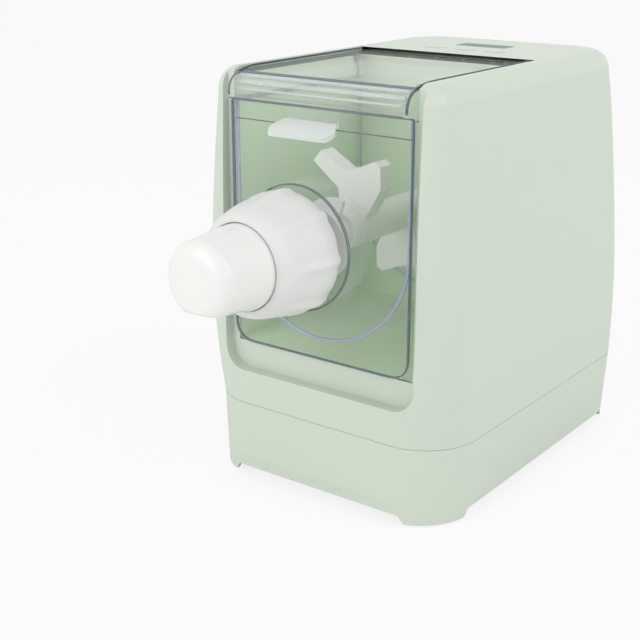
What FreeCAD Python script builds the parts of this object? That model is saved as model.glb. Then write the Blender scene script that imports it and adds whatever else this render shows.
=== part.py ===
"""Electric pasta maker: a parametric assembly in millimetres.

The frame has +Z up and the outlet nose along -Y. The origin lies on the table under the middle.
Each piece is one body or one boolean result, bound to the sizes in the sheet.
"""
import FreeCAD, Part
import math
import os
import Sketcher
from FreeCAD import Rotation, Vector

doc = FreeCAD.newDocument("pasta_maker")
sheet = doc.addObject("Spreadsheet::Sheet", "dims")


class Dim:
    """A size that carries its number and the expression that binds it to the sheet."""

    def __init__(self, value, text):
        self.value = value
        self.text = text

    def __add__(self, other):
        other = as_dim(other)
        return Dim(self.value + other.value, f"({self.text} + {other.text})")

    def __sub__(self, other):
        other = as_dim(other)
        return Dim(self.value - other.value, f"({self.text} - {other.text})")

    def __mul__(self, other):
        other = as_dim(other)
        return Dim(self.value * other.value, f"({self.text} * {other.text})")

    def __truediv__(self, other):
        other = as_dim(other)
        return Dim(self.value / other.value, f"({self.text} / {other.text})")

    def __neg__(self):
        return Dim(-self.value, f"(-1 * {self.text})")

    __radd__ = __add__


def as_dim(value):
    """Return a number as a size, and a size as it is."""
    if isinstance(value, Dim):
        return value
    return Dim(value, repr(value))


rows = []


def size(alias, value):
    """Write one driving size into the sheet and return it."""
    rows.append(alias)
    row = len(rows)
    sheet.set(f"A{row}", alias)
    sheet.set(f"B{row}", str(value))
    sheet.setAlias(f"B{row}", alias)
    return Dim(value, f"dims.{alias}")


# Main planes and heights
axis_z = size("drive_axis_height", 181.5)
front_y = size("front_plane", -77.0)
seam_z = size("seam_height", 55.5)
seam_gap = size("seam_gap", 0.3)
top_z = size("top_height", 286.0)
foot_z = size("foot_edge_height", 1.5)

# Outer shape of the housing, one width, front, rear and pair of corner radii for each station
low_z = size("low_station_height", 85.0)
mid_z = size("middle_station_height", 130.0)
waist_z = size("waist_station_height", 180.0)
high_z = size("high_station_height", 230.0)
shoulder = size("shoulder_radius", 14.0)
seam_half = size("housing_half_width", 100.7)
seam_front = size("housing_front", -80.4)
seam_rear = size("housing_rear", 194.2)
foot_half = seam_half - size("foot_taper", 2.5)
low_half = seam_half + size("low_swell", 0.3)
mid_half = seam_half - size("middle_taper", 0.9)
waist_half = seam_half - size("waist_taper", 4.1)
high_half = seam_half - size("high_taper", 8.5)
top_half = seam_half - size("top_taper", 12.7)
foot_front = seam_front - size("foot_front_step", 0.6)
mid_front = seam_front + size("middle_front_taper", 1.0)
top_front = seam_front + size("top_front_taper", 3.2)
foot_rear = seam_rear - size("foot_rear_taper", 1.6)
mid_rear = seam_rear - size("middle_rear_taper", 0.6)
high_rear = seam_rear - size("high_rear_taper", 5.6)
top_rear = seam_rear - size("top_rear_taper", 10.2)
foot_corner = size("foot_corner_radius", 42.0)
seam_corner = size("seam_corner_radius", 41.0)
low_corner = size("low_corner_radius", 33.0)
mid_corner = size("middle_corner_radius", 22.5)
waist_corner = size("waist_corner_radius", 18.0)
high_corner = size("high_corner_radius", 15.5)
top_corner = size("top_corner_radius", 14.6)
rear_corner = size("rear_corner_radius", 37.0)
wall = size("housing_wall", 2.8)

# Bay for the mixing tank
gap = size("fit_gap", 0.3)
liner_wall = size("liner_wall", 2.2)
bay_half = size("bay_half_width", 71.2)
bay_rear = size("bay_rear", 72.2)
bay_floor = size("bay_floor_height", 98.8)
recess_half = size("recess_half_width", 77.0)
recess_floor = size("recess_floor_height", 80.0)
recess_depth = size("recess_depth", 5.0)
recess_corner = size("recess_corner_radius", 16.0)
recess_wall = size("recess_wall", 2.0)
far = size("cutter_overrun", 60.0)
deck_z = size("liner_top_height", 280.6)

# Base
arch_height = size("arch_height", 7.0)
front_foot_x = size("front_foot_inner", 67.0)
side_foot_front = size("side_arch_front", -42.0)
side_foot_rear = size("side_arch_rear", 164.0)
arch_slope = size("arch_slope", 6.0)
ledge_height = size("ledge_height", 14.5)
ledge_depth = size("ledge_depth", 1.4)
foot_post_r = size("foot_post_radius", 17.5)
foot_post_x = foot_half - size("foot_post_side_inset", 18.7)
foot_post_front = foot_front + size("foot_post_front_inset", 37.0)
foot_post_rear = foot_rear - size("foot_post_rear_inset", 32.6)
pad_r = size("foot_pad_radius", 10.0)
pad_height = size("foot_pad_height", 3.0)
plate_z = size("bottom_plate_height", 9.5)
plate_t = size("bottom_plate_thickness", 2.5)
post_x = foot_half - size("screw_post_inset", 7.2)
post_front = size("screw_post_front", -10.0)
post_rear = size("screw_post_rear", 130.0)
post_r = size("screw_post_radius", 5.5)
post_top = size("screw_post_top", 38.0)
screw_r = size("screw_radius", 1.6)
screw_head_r = size("screw_head_radius", 3.2)
screw_head_t = size("screw_head_height", 2.0)
screw_len = size("screw_length", 12.0)

# Mixing tank
tank_half = size("tank_half_width", 70.8)
tank_floor = size("tank_plate_bottom", 100.0)
tank_top = size("tank_top_height", 266.4)
tank_rear = size("tank_rear", 69.0)
tank_wall = size("tank_wall", 2.4)
plate_wall = size("front_plate_thickness", 3.0)
plate_corner = size("front_plate_corner_radius", 14.0)
trough_r = size("trough_radius", 69.0)
rim_t = size("tank_rim_thickness", 3.0)
neck_base_r = size("neck_base_radius", 42.0)
neck_r = size("neck_radius", 33.0)
neck_bore = size("neck_bore_radius", 27.0)
neck_len = size("neck_length", 62.0)
ring_r = size("neck_ring_radius", 41.0)
ring_at = size("neck_ring_distance", 20.0)
ring_t = size("neck_ring_thickness", 3.0)

# Lid
lid_top = size("lid_top_height", 283.3)
lid_wall = size("lid_wall", 2.5)
lid_half = size("lid_half_width", 68.9)
lid_rear = size("lid_rear", 69.4)
lid_lip = size("lid_lip_overhang", 6.2)
lid_seat = size("lid_seat_gap", 0.4)
hinge_y = size("lid_hinge_position", 65.5)
hinge_z = size("lid_hinge_height", 279.5)
pin_r = size("lid_pin_radius", 2.0)
run = size("running_clearance", 0.05)
ear_len = size("hinge_ear_depth", 9.0)
tab_half = size("tab_half_width", 24.0)
tab_root = size("tab_root_half_width", 19.5)
tab_reach = size("tab_reach", 17.5)
tab_bend = size("tab_bend_depth", 8.0)
tab_drop = size("tab_drop", 16.8)
tab_t = size("tab_thickness", 2.4)

# Paddle and auger
hub_r = size("paddle_hub_radius", 12.0)
journal_r = size("paddle_journal_radius", 10.0)
arm_t = size("paddle_arm_depth", 13.0)
arm_front = size("front_arm_distance", 41.0)
arm_rear = size("rear_arm_distance", 98.0)
hub_front = size("paddle_hub_front", 26.0)
shaft_r = size("drive_shaft_radius", 8.0)
key_flat = size("drive_hex_radius", 6.6)
auger_r = size("auger_radius", 25.0)
auger_core = size("auger_core_radius", 9.0)
auger_pitch = size("auger_pitch", 24.0)
blade_t = size("auger_blade_thickness", 3.2)
socket = size("socket_depth", 34.0)
key_depth_auger = size("auger_key_depth", 10.0)

# Collar, outlet head and die plate
collar_rear_r = size("collar_rear_radius", 39.0)
collar_wide_r = size("collar_widest_radius", 40.8)
collar_mid_r = size("collar_middle_radius", 36.0)
collar_front_r = size("collar_front_radius", 32.2)
collar_rear = size("collar_rear_distance", 27.3)
collar_wide = size("collar_widest_distance", 40.0)
collar_mid = size("collar_middle_distance", 61.0)
collar_face = size("collar_face_distance", 73.0)
collar_front = size("collar_front_distance", 76.0)
collar_wall = size("collar_front_wall", 12.6)
rib_out = size("collar_rib_height", 1.5)
rib_angle = size("collar_rib_angle", 16.0)
thread_gap = size("thread_gap", 0.4)
head_flange_r = size("head_flange_radius", 32.6)
head_rear_r = size("head_rear_radius", 26.7)
head_front_r = size("head_front_radius", 23.3)
head_nose = size("head_nose_distance", 117.3)
head_wall = size("head_wall", 2.6)
head_round = size("head_nose_rounding", 7.0)
outlet_drop = size("outlet_drop", 18.6)
outlet_half = size("outlet_half_width", 15.0)
outlet_front = size("outlet_front_distance", 106.0)
outlet_rear = size("outlet_rear_distance", 78.5)
die_t = size("die_plate_thickness", 2.5)
die_depth = size("die_plate_depth", 4.6)
die_hole_r = size("die_hole_radius", 1.2)
die_step = size("die_hole_step", 4.5)

# Controls on the rear of the top
display_half = size("display_half_width", 21.0)
display_depth = size("display_depth", 18.0)
display_y = size("display_position", 130.0)
display_t = size("display_thickness", 2.6)
key_half = size("key_half_width", 8.0)
key_depth = size("key_depth", 9.0)
key_y = size("key_position", 101.0)
key_step = size("key_spacing", 24.0)
key_proud = size("key_proud", 0.3)
key_travel = size("key_travel", 1.0)
board_drop = size("key_board_drop", 13.0)
board_t = size("board_thickness", 1.6)
switch_t = size("switch_height", 3.4)

# Drive train
module_fast = size("fast_gear_module", 1.5)
module_slow = size("slow_gear_module", 2.0)
teeth_motor = size("motor_pinion_teeth", 12)
teeth_wheel = size("first_wheel_teeth", 52)
teeth_second = size("second_pinion_teeth", 14)
teeth_output = size("output_gear_teeth", 48)
case_front = size("gearbox_front", 76.0)
case_wall = size("gearbox_wall", 3.0)
case_len = size("gearbox_depth", 36.0)
case_half = size("gearbox_half_width", 54.0)
case_margin = size("gearbox_margin", 4.0)
wheel_t = size("first_wheel_width", 8.0)
output_t = size("output_gear_width", 12.0)
axle_r = size("intermediate_axle_radius", 4.0)
rotor_r = size("motor_shaft_radius", 3.0)
motor_r = size("motor_radius", 30.0)
motor_len = size("motor_length", 52.0)
fan_r = size("fan_radius", 24.0)
fan_t = size("fan_width", 8.0)
bearing_r = size("bearing_outer_radius", 14.0)
bearing_t = size("bearing_width", 6.0)

# Electrical parts
mains_half = size("mains_board_half_width", 45.0)
mains_front = size("mains_board_front", -38.0)
mains_rear = size("mains_board_rear", 48.0)
standoff = size("standoff_height", 8.0)
inlet_half = size("inlet_half_width", 12.0)
inlet_high = size("inlet_height", 16.0)
inlet_x = size("inlet_position", -30.0)
inlet_z = size("inlet_centre_height", 30.0)
inlet_len = size("inlet_depth", 18.0)
vent_half = size("vent_half_length", 22.0)
vent_high = size("vent_slot_height", 2.6)
vent_step = size("vent_slot_step", 6.0)
vent_count = size("vent_slot_count", 7)
vent_low = size("vent_lowest_height", 64.0)
doc.recompute()


def bind(thing, prop, value):
    """Bind a property to a size, or set it where it is a plain number."""
    value = as_dim(value)
    thing.setExpression(prop, value.text)


# Sketch and feature helpers
def new_body(label):
    """Make an empty body under its node name."""
    body = doc.addObject("PartDesign::Body", label)
    body.Label = label
    return body


def sketch_on(body, plane, level, shift=(0, 0)):
    """Attach a sketch to one of the body's origin planes, at a level along the global axis."""
    sketch = body.newObject("Sketcher::SketchObject", "profile")
    role = plane + "_Plane"
    origin = [item for item in body.Origin.OriginFeatures if item.Role == role][0]
    sketch.AttachmentSupport = [(origin, "")]
    sketch.MapMode = "FlatFace"
    level = as_dim(level)
    bind(sketch, "AttachmentOffset.Base.z", -level if plane == "XZ" else level)
    bind(sketch, "AttachmentOffset.Base.x", shift[0])
    bind(sketch, "AttachmentOffset.Base.y", shift[1])
    return sketch


def fix(sketch, kind, geometry, point, value, name):
    """Constrain one point's distance from an axis to a size."""
    value = as_dim(value)
    if value.text in ("0", "0.0"):
        axis = -2 if kind == "DistanceX" else -1
        sketch.addConstraint(Sketcher.Constraint("PointOnObject", geometry, point, axis))
        return
    index = sketch.addConstraint(Sketcher.Constraint(kind, -1, 1, geometry, point, value.value))
    sketch.renameConstraint(index, name)
    sketch.setExpression("Constraints." + name, value.text)


def fix_radius(sketch, geometry, value, name):
    """Constrain an arc's or a circle's radius to a size."""
    value = as_dim(value)
    index = sketch.addConstraint(Sketcher.Constraint("Radius", geometry, value.value))
    sketch.renameConstraint(index, name)
    sketch.setExpression("Constraints." + name, value.text)


def polygon(sketch, points):
    """Draw a closed polygon whose corners are all bound to sizes."""
    points = [(as_dim(x), as_dim(y)) for x, y in points]
    count = len(points)
    start = sketch.GeometryCount
    ends = [Vector(x.value, y.value, 0) for x, y in points]
    for number in range(count):
        sketch.addGeometry(Part.LineSegment(ends[number], ends[(number + 1) % count]), False)
    for number in range(count):
        following = start + (number + 1) % count
        sketch.addConstraint(Sketcher.Constraint("Coincident", start + number, 2, following, 1))
    for number, (x, y) in enumerate(points):
        fix(sketch, "DistanceX", start + number, 1, x, f"across{start + number}")
        fix(sketch, "DistanceY", start + number, 1, y, f"along{start + number}")


def rectangle(sketch, x0, x1, y0, y1):
    """Draw a rectangle between two pairs of sizes."""
    polygon(sketch, [(x0, y0), (x1, y0), (x1, y1), (x0, y1)])


def slots(sketch, sizes):
    """Draw several rectangles, each between its two pairs of sizes."""
    for sides in sizes:
        rectangle(sketch, *sides)


def arc(x, y, radius, start, end):
    """Return an arc given by its centre, radius and two angles in degrees."""
    circle = Part.Circle(Vector(x, y, 0), Vector(0, 0, 1), radius)
    return Part.ArcOfCircle(circle, math.radians(start), math.radians(end))


def rounded(sketch, x0, x1, y0, y1, low_radius, high_radius):
    """Draw a rectangle with one radius at its two low corners and one at its two high corners."""
    x0, x1, y0, y1 = as_dim(x0), as_dim(x1), as_dim(y0), as_dim(y1)
    low, high = as_dim(low_radius).value, as_dim(high_radius).value
    a, b, c, d = x0.value, x1.value, y0.value, y1.value
    sketch.addGeometry([
        Part.LineSegment(Vector(a + low, c, 0), Vector(b - low, c, 0)),
        arc(b - low, c + low, low, 270, 360),
        Part.LineSegment(Vector(b, c + low, 0), Vector(b, d - high, 0)),
        arc(b - high, d - high, high, 0, 90),
        Part.LineSegment(Vector(b - high, d, 0), Vector(a + high, d, 0)),
        arc(a + high, d - high, high, 90, 180),
        Part.LineSegment(Vector(a, d - high, 0), Vector(a, c + low, 0)),
        arc(a + low, c + low, low, 180, 270),
    ], False)
    for number in range(8):
        joined = (number + 1) % 8
        sketch.addConstraint(Sketcher.Constraint("Tangent", number, 2, joined, 1))
    sketch.addConstraint(Sketcher.Constraint("Vertical", 2))
    sketch.addConstraint(Sketcher.Constraint("Horizontal", 4))
    sketch.addConstraint(Sketcher.Constraint("Vertical", 6))
    sketch.addConstraint(Sketcher.Constraint("Horizontal", 0))
    sketch.addConstraint(Sketcher.Constraint("Equal", 1, 7))
    sketch.addConstraint(Sketcher.Constraint("Equal", 3, 5))
    fix(sketch, "DistanceY", 0, 1, y0, "low_edge")
    fix(sketch, "DistanceX", 2, 1, x1, "right_edge")
    fix(sketch, "DistanceY", 4, 1, y1, "high_edge")
    fix(sketch, "DistanceX", 6, 1, x0, "left_edge")
    fix_radius(sketch, 1, low_radius, "low_radius")
    fix_radius(sketch, 3, high_radius, "high_radius")


def circle(sketch, x, y, radius):
    """Draw a circle bound to its centre and radius."""
    x, y, radius = as_dim(x), as_dim(y), as_dim(radius)
    number = sketch.GeometryCount
    sketch.addGeometry(Part.Circle(Vector(x.value, y.value, 0), Vector(0, 0, 1), radius.value), False)
    fix(sketch, "DistanceX", number, 3, x, f"across{number}")
    fix(sketch, "DistanceY", number, 3, y, f"along{number}")
    fix_radius(sketch, number, radius, f"radius{number}")


def trough(sketch, radius, centre, top):
    """Draw a trough's section: a half round with upright sides up to the top."""
    radius, centre, top = as_dim(radius), as_dim(centre), as_dim(top)
    r, c, t = radius.value, centre.value, top.value
    sketch.addGeometry([
        arc(0, c, r, 180, 360),
        Part.LineSegment(Vector(r, c, 0), Vector(r, t, 0)),
        Part.LineSegment(Vector(r, t, 0), Vector(-r, t, 0)),
        Part.LineSegment(Vector(-r, t, 0), Vector(-r, c, 0)),
    ], False)
    sketch.addConstraint(Sketcher.Constraint("Tangent", 0, 2, 1, 1))
    sketch.addConstraint(Sketcher.Constraint("Coincident", 1, 2, 2, 1))
    sketch.addConstraint(Sketcher.Constraint("Coincident", 2, 2, 3, 1))
    sketch.addConstraint(Sketcher.Constraint("Tangent", 3, 2, 0, 1))
    sketch.addConstraint(Sketcher.Constraint("Vertical", 1))
    sketch.addConstraint(Sketcher.Constraint("Horizontal", 2))
    sketch.addConstraint(Sketcher.Constraint("Vertical", 3))
    sketch.addConstraint(Sketcher.Constraint("PointOnObject", 0, 3, -2))
    fix(sketch, "DistanceY", 0, 3, centre, "centre_height")
    fix(sketch, "DistanceY", 2, 1, top, "top_edge")
    fix_radius(sketch, 0, radius, "trough_radius")


def draw(body, plane, level, outline, shift=(0, 0)):
    """Attach a sketch and draw an outline in it: a function's name and its sizes."""
    sketch = sketch_on(body, plane, level, shift)
    outline[0](sketch, *outline[1:])
    return sketch


def pad(body, plane, start, end, outline, shift=(0, 0)):
    """Add material between two levels of the plane's global axis."""
    start, end = as_dim(start), as_dim(end)
    sketch = draw(body, plane, end if plane == "XZ" else start, outline, shift)
    feature = body.newObject("PartDesign::Pad", "pad")
    feature.Profile = sketch
    bind(feature, "Length", end - start)
    doc.recompute()
    return feature


def pocket(body, plane, start, end, outline, shift=(0, 0)):
    """Remove material between two levels of the plane's global axis, and make sure that some went."""
    start, end = as_dim(start), as_dim(end)
    before = body.Shape.Volume
    sketch = draw(body, plane, start if plane == "XZ" else end, outline, shift)
    feature = body.newObject("PartDesign::Pocket", "pocket")
    feature.Profile = sketch
    bind(feature, "Length", end - start)
    doc.recompute()
    if body.Shape.Volume > before - 0.01:
        raise RuntimeError("A pocket in " + body.Label + " cut nothing.")
    return feature


def turned(body, points, height=0, centre=0, cut=False):
    """Turn a profile of (position along Y, radius) points about a line parallel to Y."""
    sketch = draw(body, "YZ", centre, (polygon, points), (0, height))
    kind = "PartDesign::Groove" if cut else "PartDesign::Revolution"
    feature = body.newObject(kind, "turned")
    feature.Profile = sketch
    feature.ReferenceAxis = (sketch, ["H_Axis"])
    feature.Angle = 360
    doc.recompute()
    return feature


def loft(body, stations, cut=False, ruled=False):
    """Loft through rounded sections, each (height, half width, front, rear, two radii)."""
    sections = []
    for z, half, front, rear, low_radius, high_radius in stations:
        outline = (rounded, -half, half, front, rear, low_radius, high_radius)
        sections.append(draw(body, "XY", z, outline))
    doc.recompute()
    feature = body.newObject("PartDesign::SubtractiveLoft" if cut else "PartDesign::AdditiveLoft", "loft")
    feature.Profile = sections[0]
    feature.Sections = sections[1:]
    feature.Ruled = ruled
    doc.recompute()
    return feature


def place(thing, x, y, z, turn=None):
    """Place a primitive, turned first where its axis isn't Z."""
    if turn:
        thing.Placement = FreeCAD.Placement(Vector(0, 0, 0), turn)
    bind(thing, "Placement.Base.x", x)
    bind(thing, "Placement.Base.y", y)
    bind(thing, "Placement.Base.z", z)


def box(label, x0, x1, y0, y1, z0, z1):
    """Make a box between three pairs of sizes."""
    thing = doc.addObject("Part::Box", label)
    bind(thing, "Length", as_dim(x1) - x0)
    bind(thing, "Width", as_dim(y1) - y0)
    bind(thing, "Height", as_dim(z1) - z0)
    place(thing, x0, y0, z0)
    return thing


ALONG = {
    "Z": None,
    "Y": Rotation(Vector(1, 0, 0), -90),
    "X": Rotation(Vector(0, 1, 0), 90),
}


def rod(label, axis, radius, start, end, first, second):
    """Make a cylinder along an axis between two levels, at two coordinates across it."""
    thing = doc.addObject("Part::Cylinder", label)
    bind(thing, "Radius", radius)
    bind(thing, "Height", as_dim(end) - start)
    spots = {"X": (start, first, second), "Y": (first, start, second), "Z": (first, second, start)}
    place(thing, *spots[axis], ALONG[axis])
    return thing


def cut(label, base, tool):
    """Subtract one object from another."""
    thing = doc.addObject("Part::Cut", label)
    thing.Base = base
    thing.Tool = tool
    return thing


def fuse(label, things):
    """Join objects into one."""
    thing = doc.addObject("Part::MultiFuse", label)
    thing.Shapes = things
    return thing


def group(label, things):
    """Keep equal loose solids together under one node name."""
    thing = doc.addObject("Part::Compound", label)
    thing.Links = things
    return thing


def ring(label, axis, outer, inner, start, end, first, second):
    """Make a ring along an axis."""
    body = rod(label + "_outside", axis, outer, start, end, first, second)
    hole = rod(label + "_hole", axis, inner, start - as_dim(1), as_dim(end) + 1, first, second)
    return cut(label, body, hole)


nodes = []


def keep(thing):
    """List an object as one sub-part."""
    nodes.append(thing)
    return thing


# Outer stations of the housing, from the seam to the shoulder
shoulder_z = top_z - shoulder
upper_stations = [
    (seam_z + seam_gap, seam_half, seam_front, seam_rear, seam_corner, rear_corner),
    (low_z, low_half, seam_front, seam_rear, low_corner, rear_corner),
    (mid_z, mid_half, mid_front, mid_rear, mid_corner, rear_corner),
    (waist_z, waist_half, mid_front, (mid_rear + high_rear) / 2, waist_corner, rear_corner),
    (high_z, high_half, (mid_front + top_front) / 2, high_rear, high_corner, rear_corner),
    (shoulder_z, top_half, top_front, top_rear, top_corner, rear_corner),
]


def shoulder_station(angle, inset):
    """Return the shoulder's section at an angle up its rounding, moved in by a further inset."""
    rise = shoulder * math.sin(math.radians(angle))
    move = shoulder * (1 - math.cos(math.radians(angle))) + inset
    half = top_half - move
    corner = top_corner - move * 0.75
    back = rear_corner - move
    return (shoulder_z + rise, half, top_front + move, top_rear - move, corner, back)


# Upper housing: a lofted shell with the bay, the keys, the display and the vents cut out of it
whole = new_body("whole_housing")
loft(whole, upper_stations)
loft(whole, [shoulder_station(angle, 0) for angle in (0, 25, 50, 72, 88)])
inner_stations = [
    (z, half - wall, front + wall, rear - wall, low - wall, high - wall)
    for z, half, front, rear, low, high in upper_stations
]
inner_stations[0] = (seam_z - 1,) + inner_stations[0][1:]
loft(whole, inner_stations, cut=True)
inner_top = [
    inner_stations[-1],
    (shoulder_z + shoulder * 0.5, top_half - wall - 3, top_front + wall + 3, top_rear - wall - 3,
     top_corner - wall - 3, rear_corner - wall - 3),
    (top_z - wall, top_half - wall - 11, top_front + wall + 11, top_rear - wall - 11,
     top_corner - wall - 7, rear_corner - wall - 11),
]
loft(whole, inner_top, cut=True)
recess_y = front_y + recess_depth
flange_y = recess_y + recess_wall
frame_half = recess_half + recess_wall
frame_join = mid_z + 19
pad(whole, "XZ", mid_front + 1, flange_y,
    (rounded, -frame_half, frame_half, recess_floor - recess_wall, frame_join + 1,
     recess_corner + recess_wall, 1))
loft(whole, [
    (frame_join, frame_half, mid_front + wall * 0.5, flange_y, 0.4, 0.4),
    (high_z - 6, frame_half, mid_front + 2.4, flange_y, 0.4, 0.4),
    (shoulder_z, frame_half, top_front + wall * 0.7, flange_y, 0.4, 0.4),
    (deck_z, frame_half, top_front + 5.8, flange_y, 0.4, 0.4),
], ruled=True)
pocket(whole, "XZ", front_y - far, recess_y,
       (rounded, -recess_half, recess_half, recess_floor, top_z + far, recess_corner, 1))
liner_rear = bay_rear + liner_wall
pocket(whole, "XY", bay_floor, top_z + 5, (rectangle, -bay_half, bay_half, front_y - far, bay_rear))
pocket(whole, "XY", top_z - wall - 1, top_z + 1,
       (rounded, -(display_half + gap), display_half + gap, display_y - display_depth / 2 - gap,
        display_y + display_depth / 2 + gap, 2.5, 2.5))
for place_number in (-1, 0, 1):
    centre_x = key_step * place_number
    pocket(whole, "XY", top_z - wall - 1, top_z + 1,
           (rounded, centre_x - key_half - gap, centre_x + key_half + gap,
            key_y - key_depth / 2 - gap, key_y + key_depth / 2 + gap, 4.4, 4.4))
board_z = top_z - board_drop
board_posts = [(side * 40.0, spot) for side in (-1, 1) for spot in (key_y - 9, display_y + 16)]
for post_across, post_along in board_posts:
    pad(whole, "XY", board_z, top_z - wall + 0.4, (circle, post_across, post_along, 3.0))
vents = []
for slot in range(int(vent_count.value)):
    slot_z = vent_low + vent_step * slot
    for side in (-1, 1):
        middle = vent_half * (1.15 * side)
        vents.append((middle - vent_half, middle + vent_half, slot_z, slot_z + vent_high))
pocket(whole, "XZ", seam_rear - 12, seam_rear + 12, (slots, vents))


def part_of_housing(label, x0, x1, y0, y1):
    """Keep the share of the housing that lies between two pairs of sizes."""
    share = doc.addObject("Part::Common", label)
    share.Base = whole
    share.Tool = box(label + "_space", x0, x1, y0, y1, seam_z, top_z + 5)
    return keep(share)


part_of_housing("upper_housing", -seam_half - far, seam_half + far, bay_rear, seam_rear + far)
part_of_housing("left_flank", -seam_half - far, -bay_half, seam_front - far, bay_rear)
part_of_housing("right_flank", bay_half, seam_half + far, seam_front - far, bay_rear)
part_of_housing("front_skirt", -bay_half, bay_half, seam_front - far, bay_rear)

# Bay liner: an open-topped channel behind the recess, with a hole for the drive
liner = keep(new_body("bay_liner"))
pad(liner, "XY", bay_floor - liner_wall, deck_z - gap,
    (rectangle, -(bay_half + liner_wall), bay_half + liner_wall, flange_y, liner_rear))
pocket(liner, "XY", bay_floor, deck_z + 5, (rectangle, -bay_half, bay_half, flange_y - 1, bay_rear))
pocket(liner, "XZ", bay_rear - 1, liner_rear + 1, (circle, 0, axis_z, bearing_r))

# Base housing: a shell on four feet with an arch between each pair
base = keep(new_body("base_housing"))
base_stations = [
    (foot_z, foot_half, foot_front, foot_rear, foot_corner, rear_corner),
    (seam_z, seam_half, seam_front, seam_rear, seam_corner, rear_corner),
]
loft(base, base_stations)
inner_base = [
    (z, half - wall, front + wall, rear - wall, low - wall, high - wall)
    for z, half, front, rear, low, high in base_stations
]
inner_base[0] = (foot_z - 1,) + inner_base[0][1:]
inner_base[1] = (seam_z + 1,) + inner_base[1][1:]
loft(base, inner_base, cut=True)
for side in (-1, 1):
    for spot in (foot_post_front, foot_post_rear):
        pad(base, "XY", pad_height, plate_z, (circle, foot_post_x * side, spot, foot_post_r))
    for spot in (post_front, post_rear):
        pad(base, "XY", plate_z + plate_t, post_top, (circle, post_x * side, spot, post_r))
        pocket(base, "XY", plate_z + plate_t - 1, plate_z + plate_t + screw_len,
               (circle, post_x * side, spot, screw_r))
arch_x = [(-(front_foot_x + arch_slope), -1), (front_foot_x + arch_slope, -1),
          (front_foot_x, arch_height), (-front_foot_x, arch_height)]
pocket(base, "XZ", foot_front - 5, foot_front + 12, (polygon, arch_x))
pocket(base, "XZ", foot_rear - 12, foot_rear + 5, (polygon, arch_x))
arch_y = [(side_foot_front - arch_slope, -1), (side_foot_rear + arch_slope, -1),
          (side_foot_rear, arch_height), (side_foot_front, arch_height)]
pocket(base, "YZ", foot_half - 12, foot_half + 5, (polygon, arch_y))
pocket(base, "YZ", -foot_half - 5, -foot_half + 12, (polygon, arch_y))
pocket(base, "XY", 0, ledge_height,
       (rectangle, -front_foot_x, front_foot_x, foot_front - 2, foot_front + ledge_depth))
pocket(base, "XZ", seam_rear - 6, seam_rear + 4,
       (rounded, inlet_x - inlet_half - gap, inlet_x + inlet_half + gap,
        inlet_z - inlet_high / 2 - gap, inlet_z + inlet_high / 2 + gap, 3, 3))

# Bottom plate with cooling slots, its four screws and the foot pads
plate = keep(new_body("bottom_plate"))
plate_half = foot_half - wall - gap
pad(plate, "XY", plate_z, plate_z + plate_t,
    (rounded, -plate_half, plate_half, foot_front + wall + gap, foot_rear - wall - gap,
     foot_corner - wall, rear_corner - wall))
for side in (-1, 1):
    for spot in (post_front, post_rear):
        pocket(plate, "XY", plate_z - 1, plate_z + plate_t + 1, (circle, post_x * side, spot, screw_r))
for slot in range(6):
    slot_y = case_front + case_len + case_wall + 3 + vent_step * slot
    pocket(plate, "XY", plate_z - 1, plate_z + plate_t + 1,
           (rectangle, -vent_half, vent_half, slot_y, slot_y + vent_high))
tray_z = plate_z + plate_t
standoff_top = tray_z + standoff
for side in (-1, 1):
    for spot in (mains_front + 8, mains_rear - 8):
        pad(plate, "XY", tray_z - 0.2, standoff_top, (circle, (mains_half - 7) * side, spot, 3.5))

screws = []
pads = []
for side in (-1, 1):
    for spot in (post_front, post_rear):
        stem = rod("screw_stem", "Z", screw_r, plate_z - 0.5, tray_z + screw_len - 1, post_x * side, spot)
        head = rod("screw_head", "Z", screw_head_r, plate_z - screw_head_t, plate_z, post_x * side, spot)
        screws.append(fuse("base_screw", [stem, head]))
    for spot in (foot_post_front, foot_post_rear):
        pads.append(rod("foot_pad", "Z", pad_r, 0, pad_height, foot_post_x * side, spot))
keep(group("base_screws", screws))
keep(group("rubber_feet", pads))

# Display window and key board under the top
window = keep(new_body("display_window"))
pad(window, "XY", top_z - 0.2 - display_t, top_z - 0.2,
    (rounded, -display_half, display_half, display_y - display_depth / 2,
     display_y + display_depth / 2, 2.2, 2.2))
board = keep(new_body("key_board"))
pad(board, "XY", board_z - board_t, board_z, (rectangle, -46, 46, key_y - 15, display_y + 22))
keep(box("display_module", -display_half + 1, display_half - 1,
         display_y - display_depth / 2 + 1, display_y + display_depth / 2 - 1,
         board_z, top_z - 0.2 - display_t))
switches = []
for place_number in (-1, 0, 1):
    middle = key_step * place_number
    switches.append(box("switch", middle - 3, middle + 3, key_y - 3, key_y + 3,
                        board_z, board_z + switch_t))
keep(group("key_switches", switches))
for place_number, key_name in ((-1, "key_left"), (0, "key_middle"), (1, "key_right")):
    middle = key_step * place_number
    key = keep(new_body(key_name))
    flange_top = top_z - wall - 0.2
    pad(key, "XY", flange_top - 1.6, flange_top,
        (rounded, middle - key_half - 1.5, middle + key_half + 1.5,
         key_y - key_depth / 2 - 1.5, key_y + key_depth / 2 + 1.5, 5, 5))
    pad(key, "XY", flange_top - 0.2, top_z + key_proud,
        (rounded, middle - key_half, middle + key_half, key_y - key_depth / 2,
         key_y + key_depth / 2, 4, 4))
    pad(key, "XY", board_z + switch_t + key_travel + 0.2, flange_top - 1.4, (circle, middle, key_y, 2.4))

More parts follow.
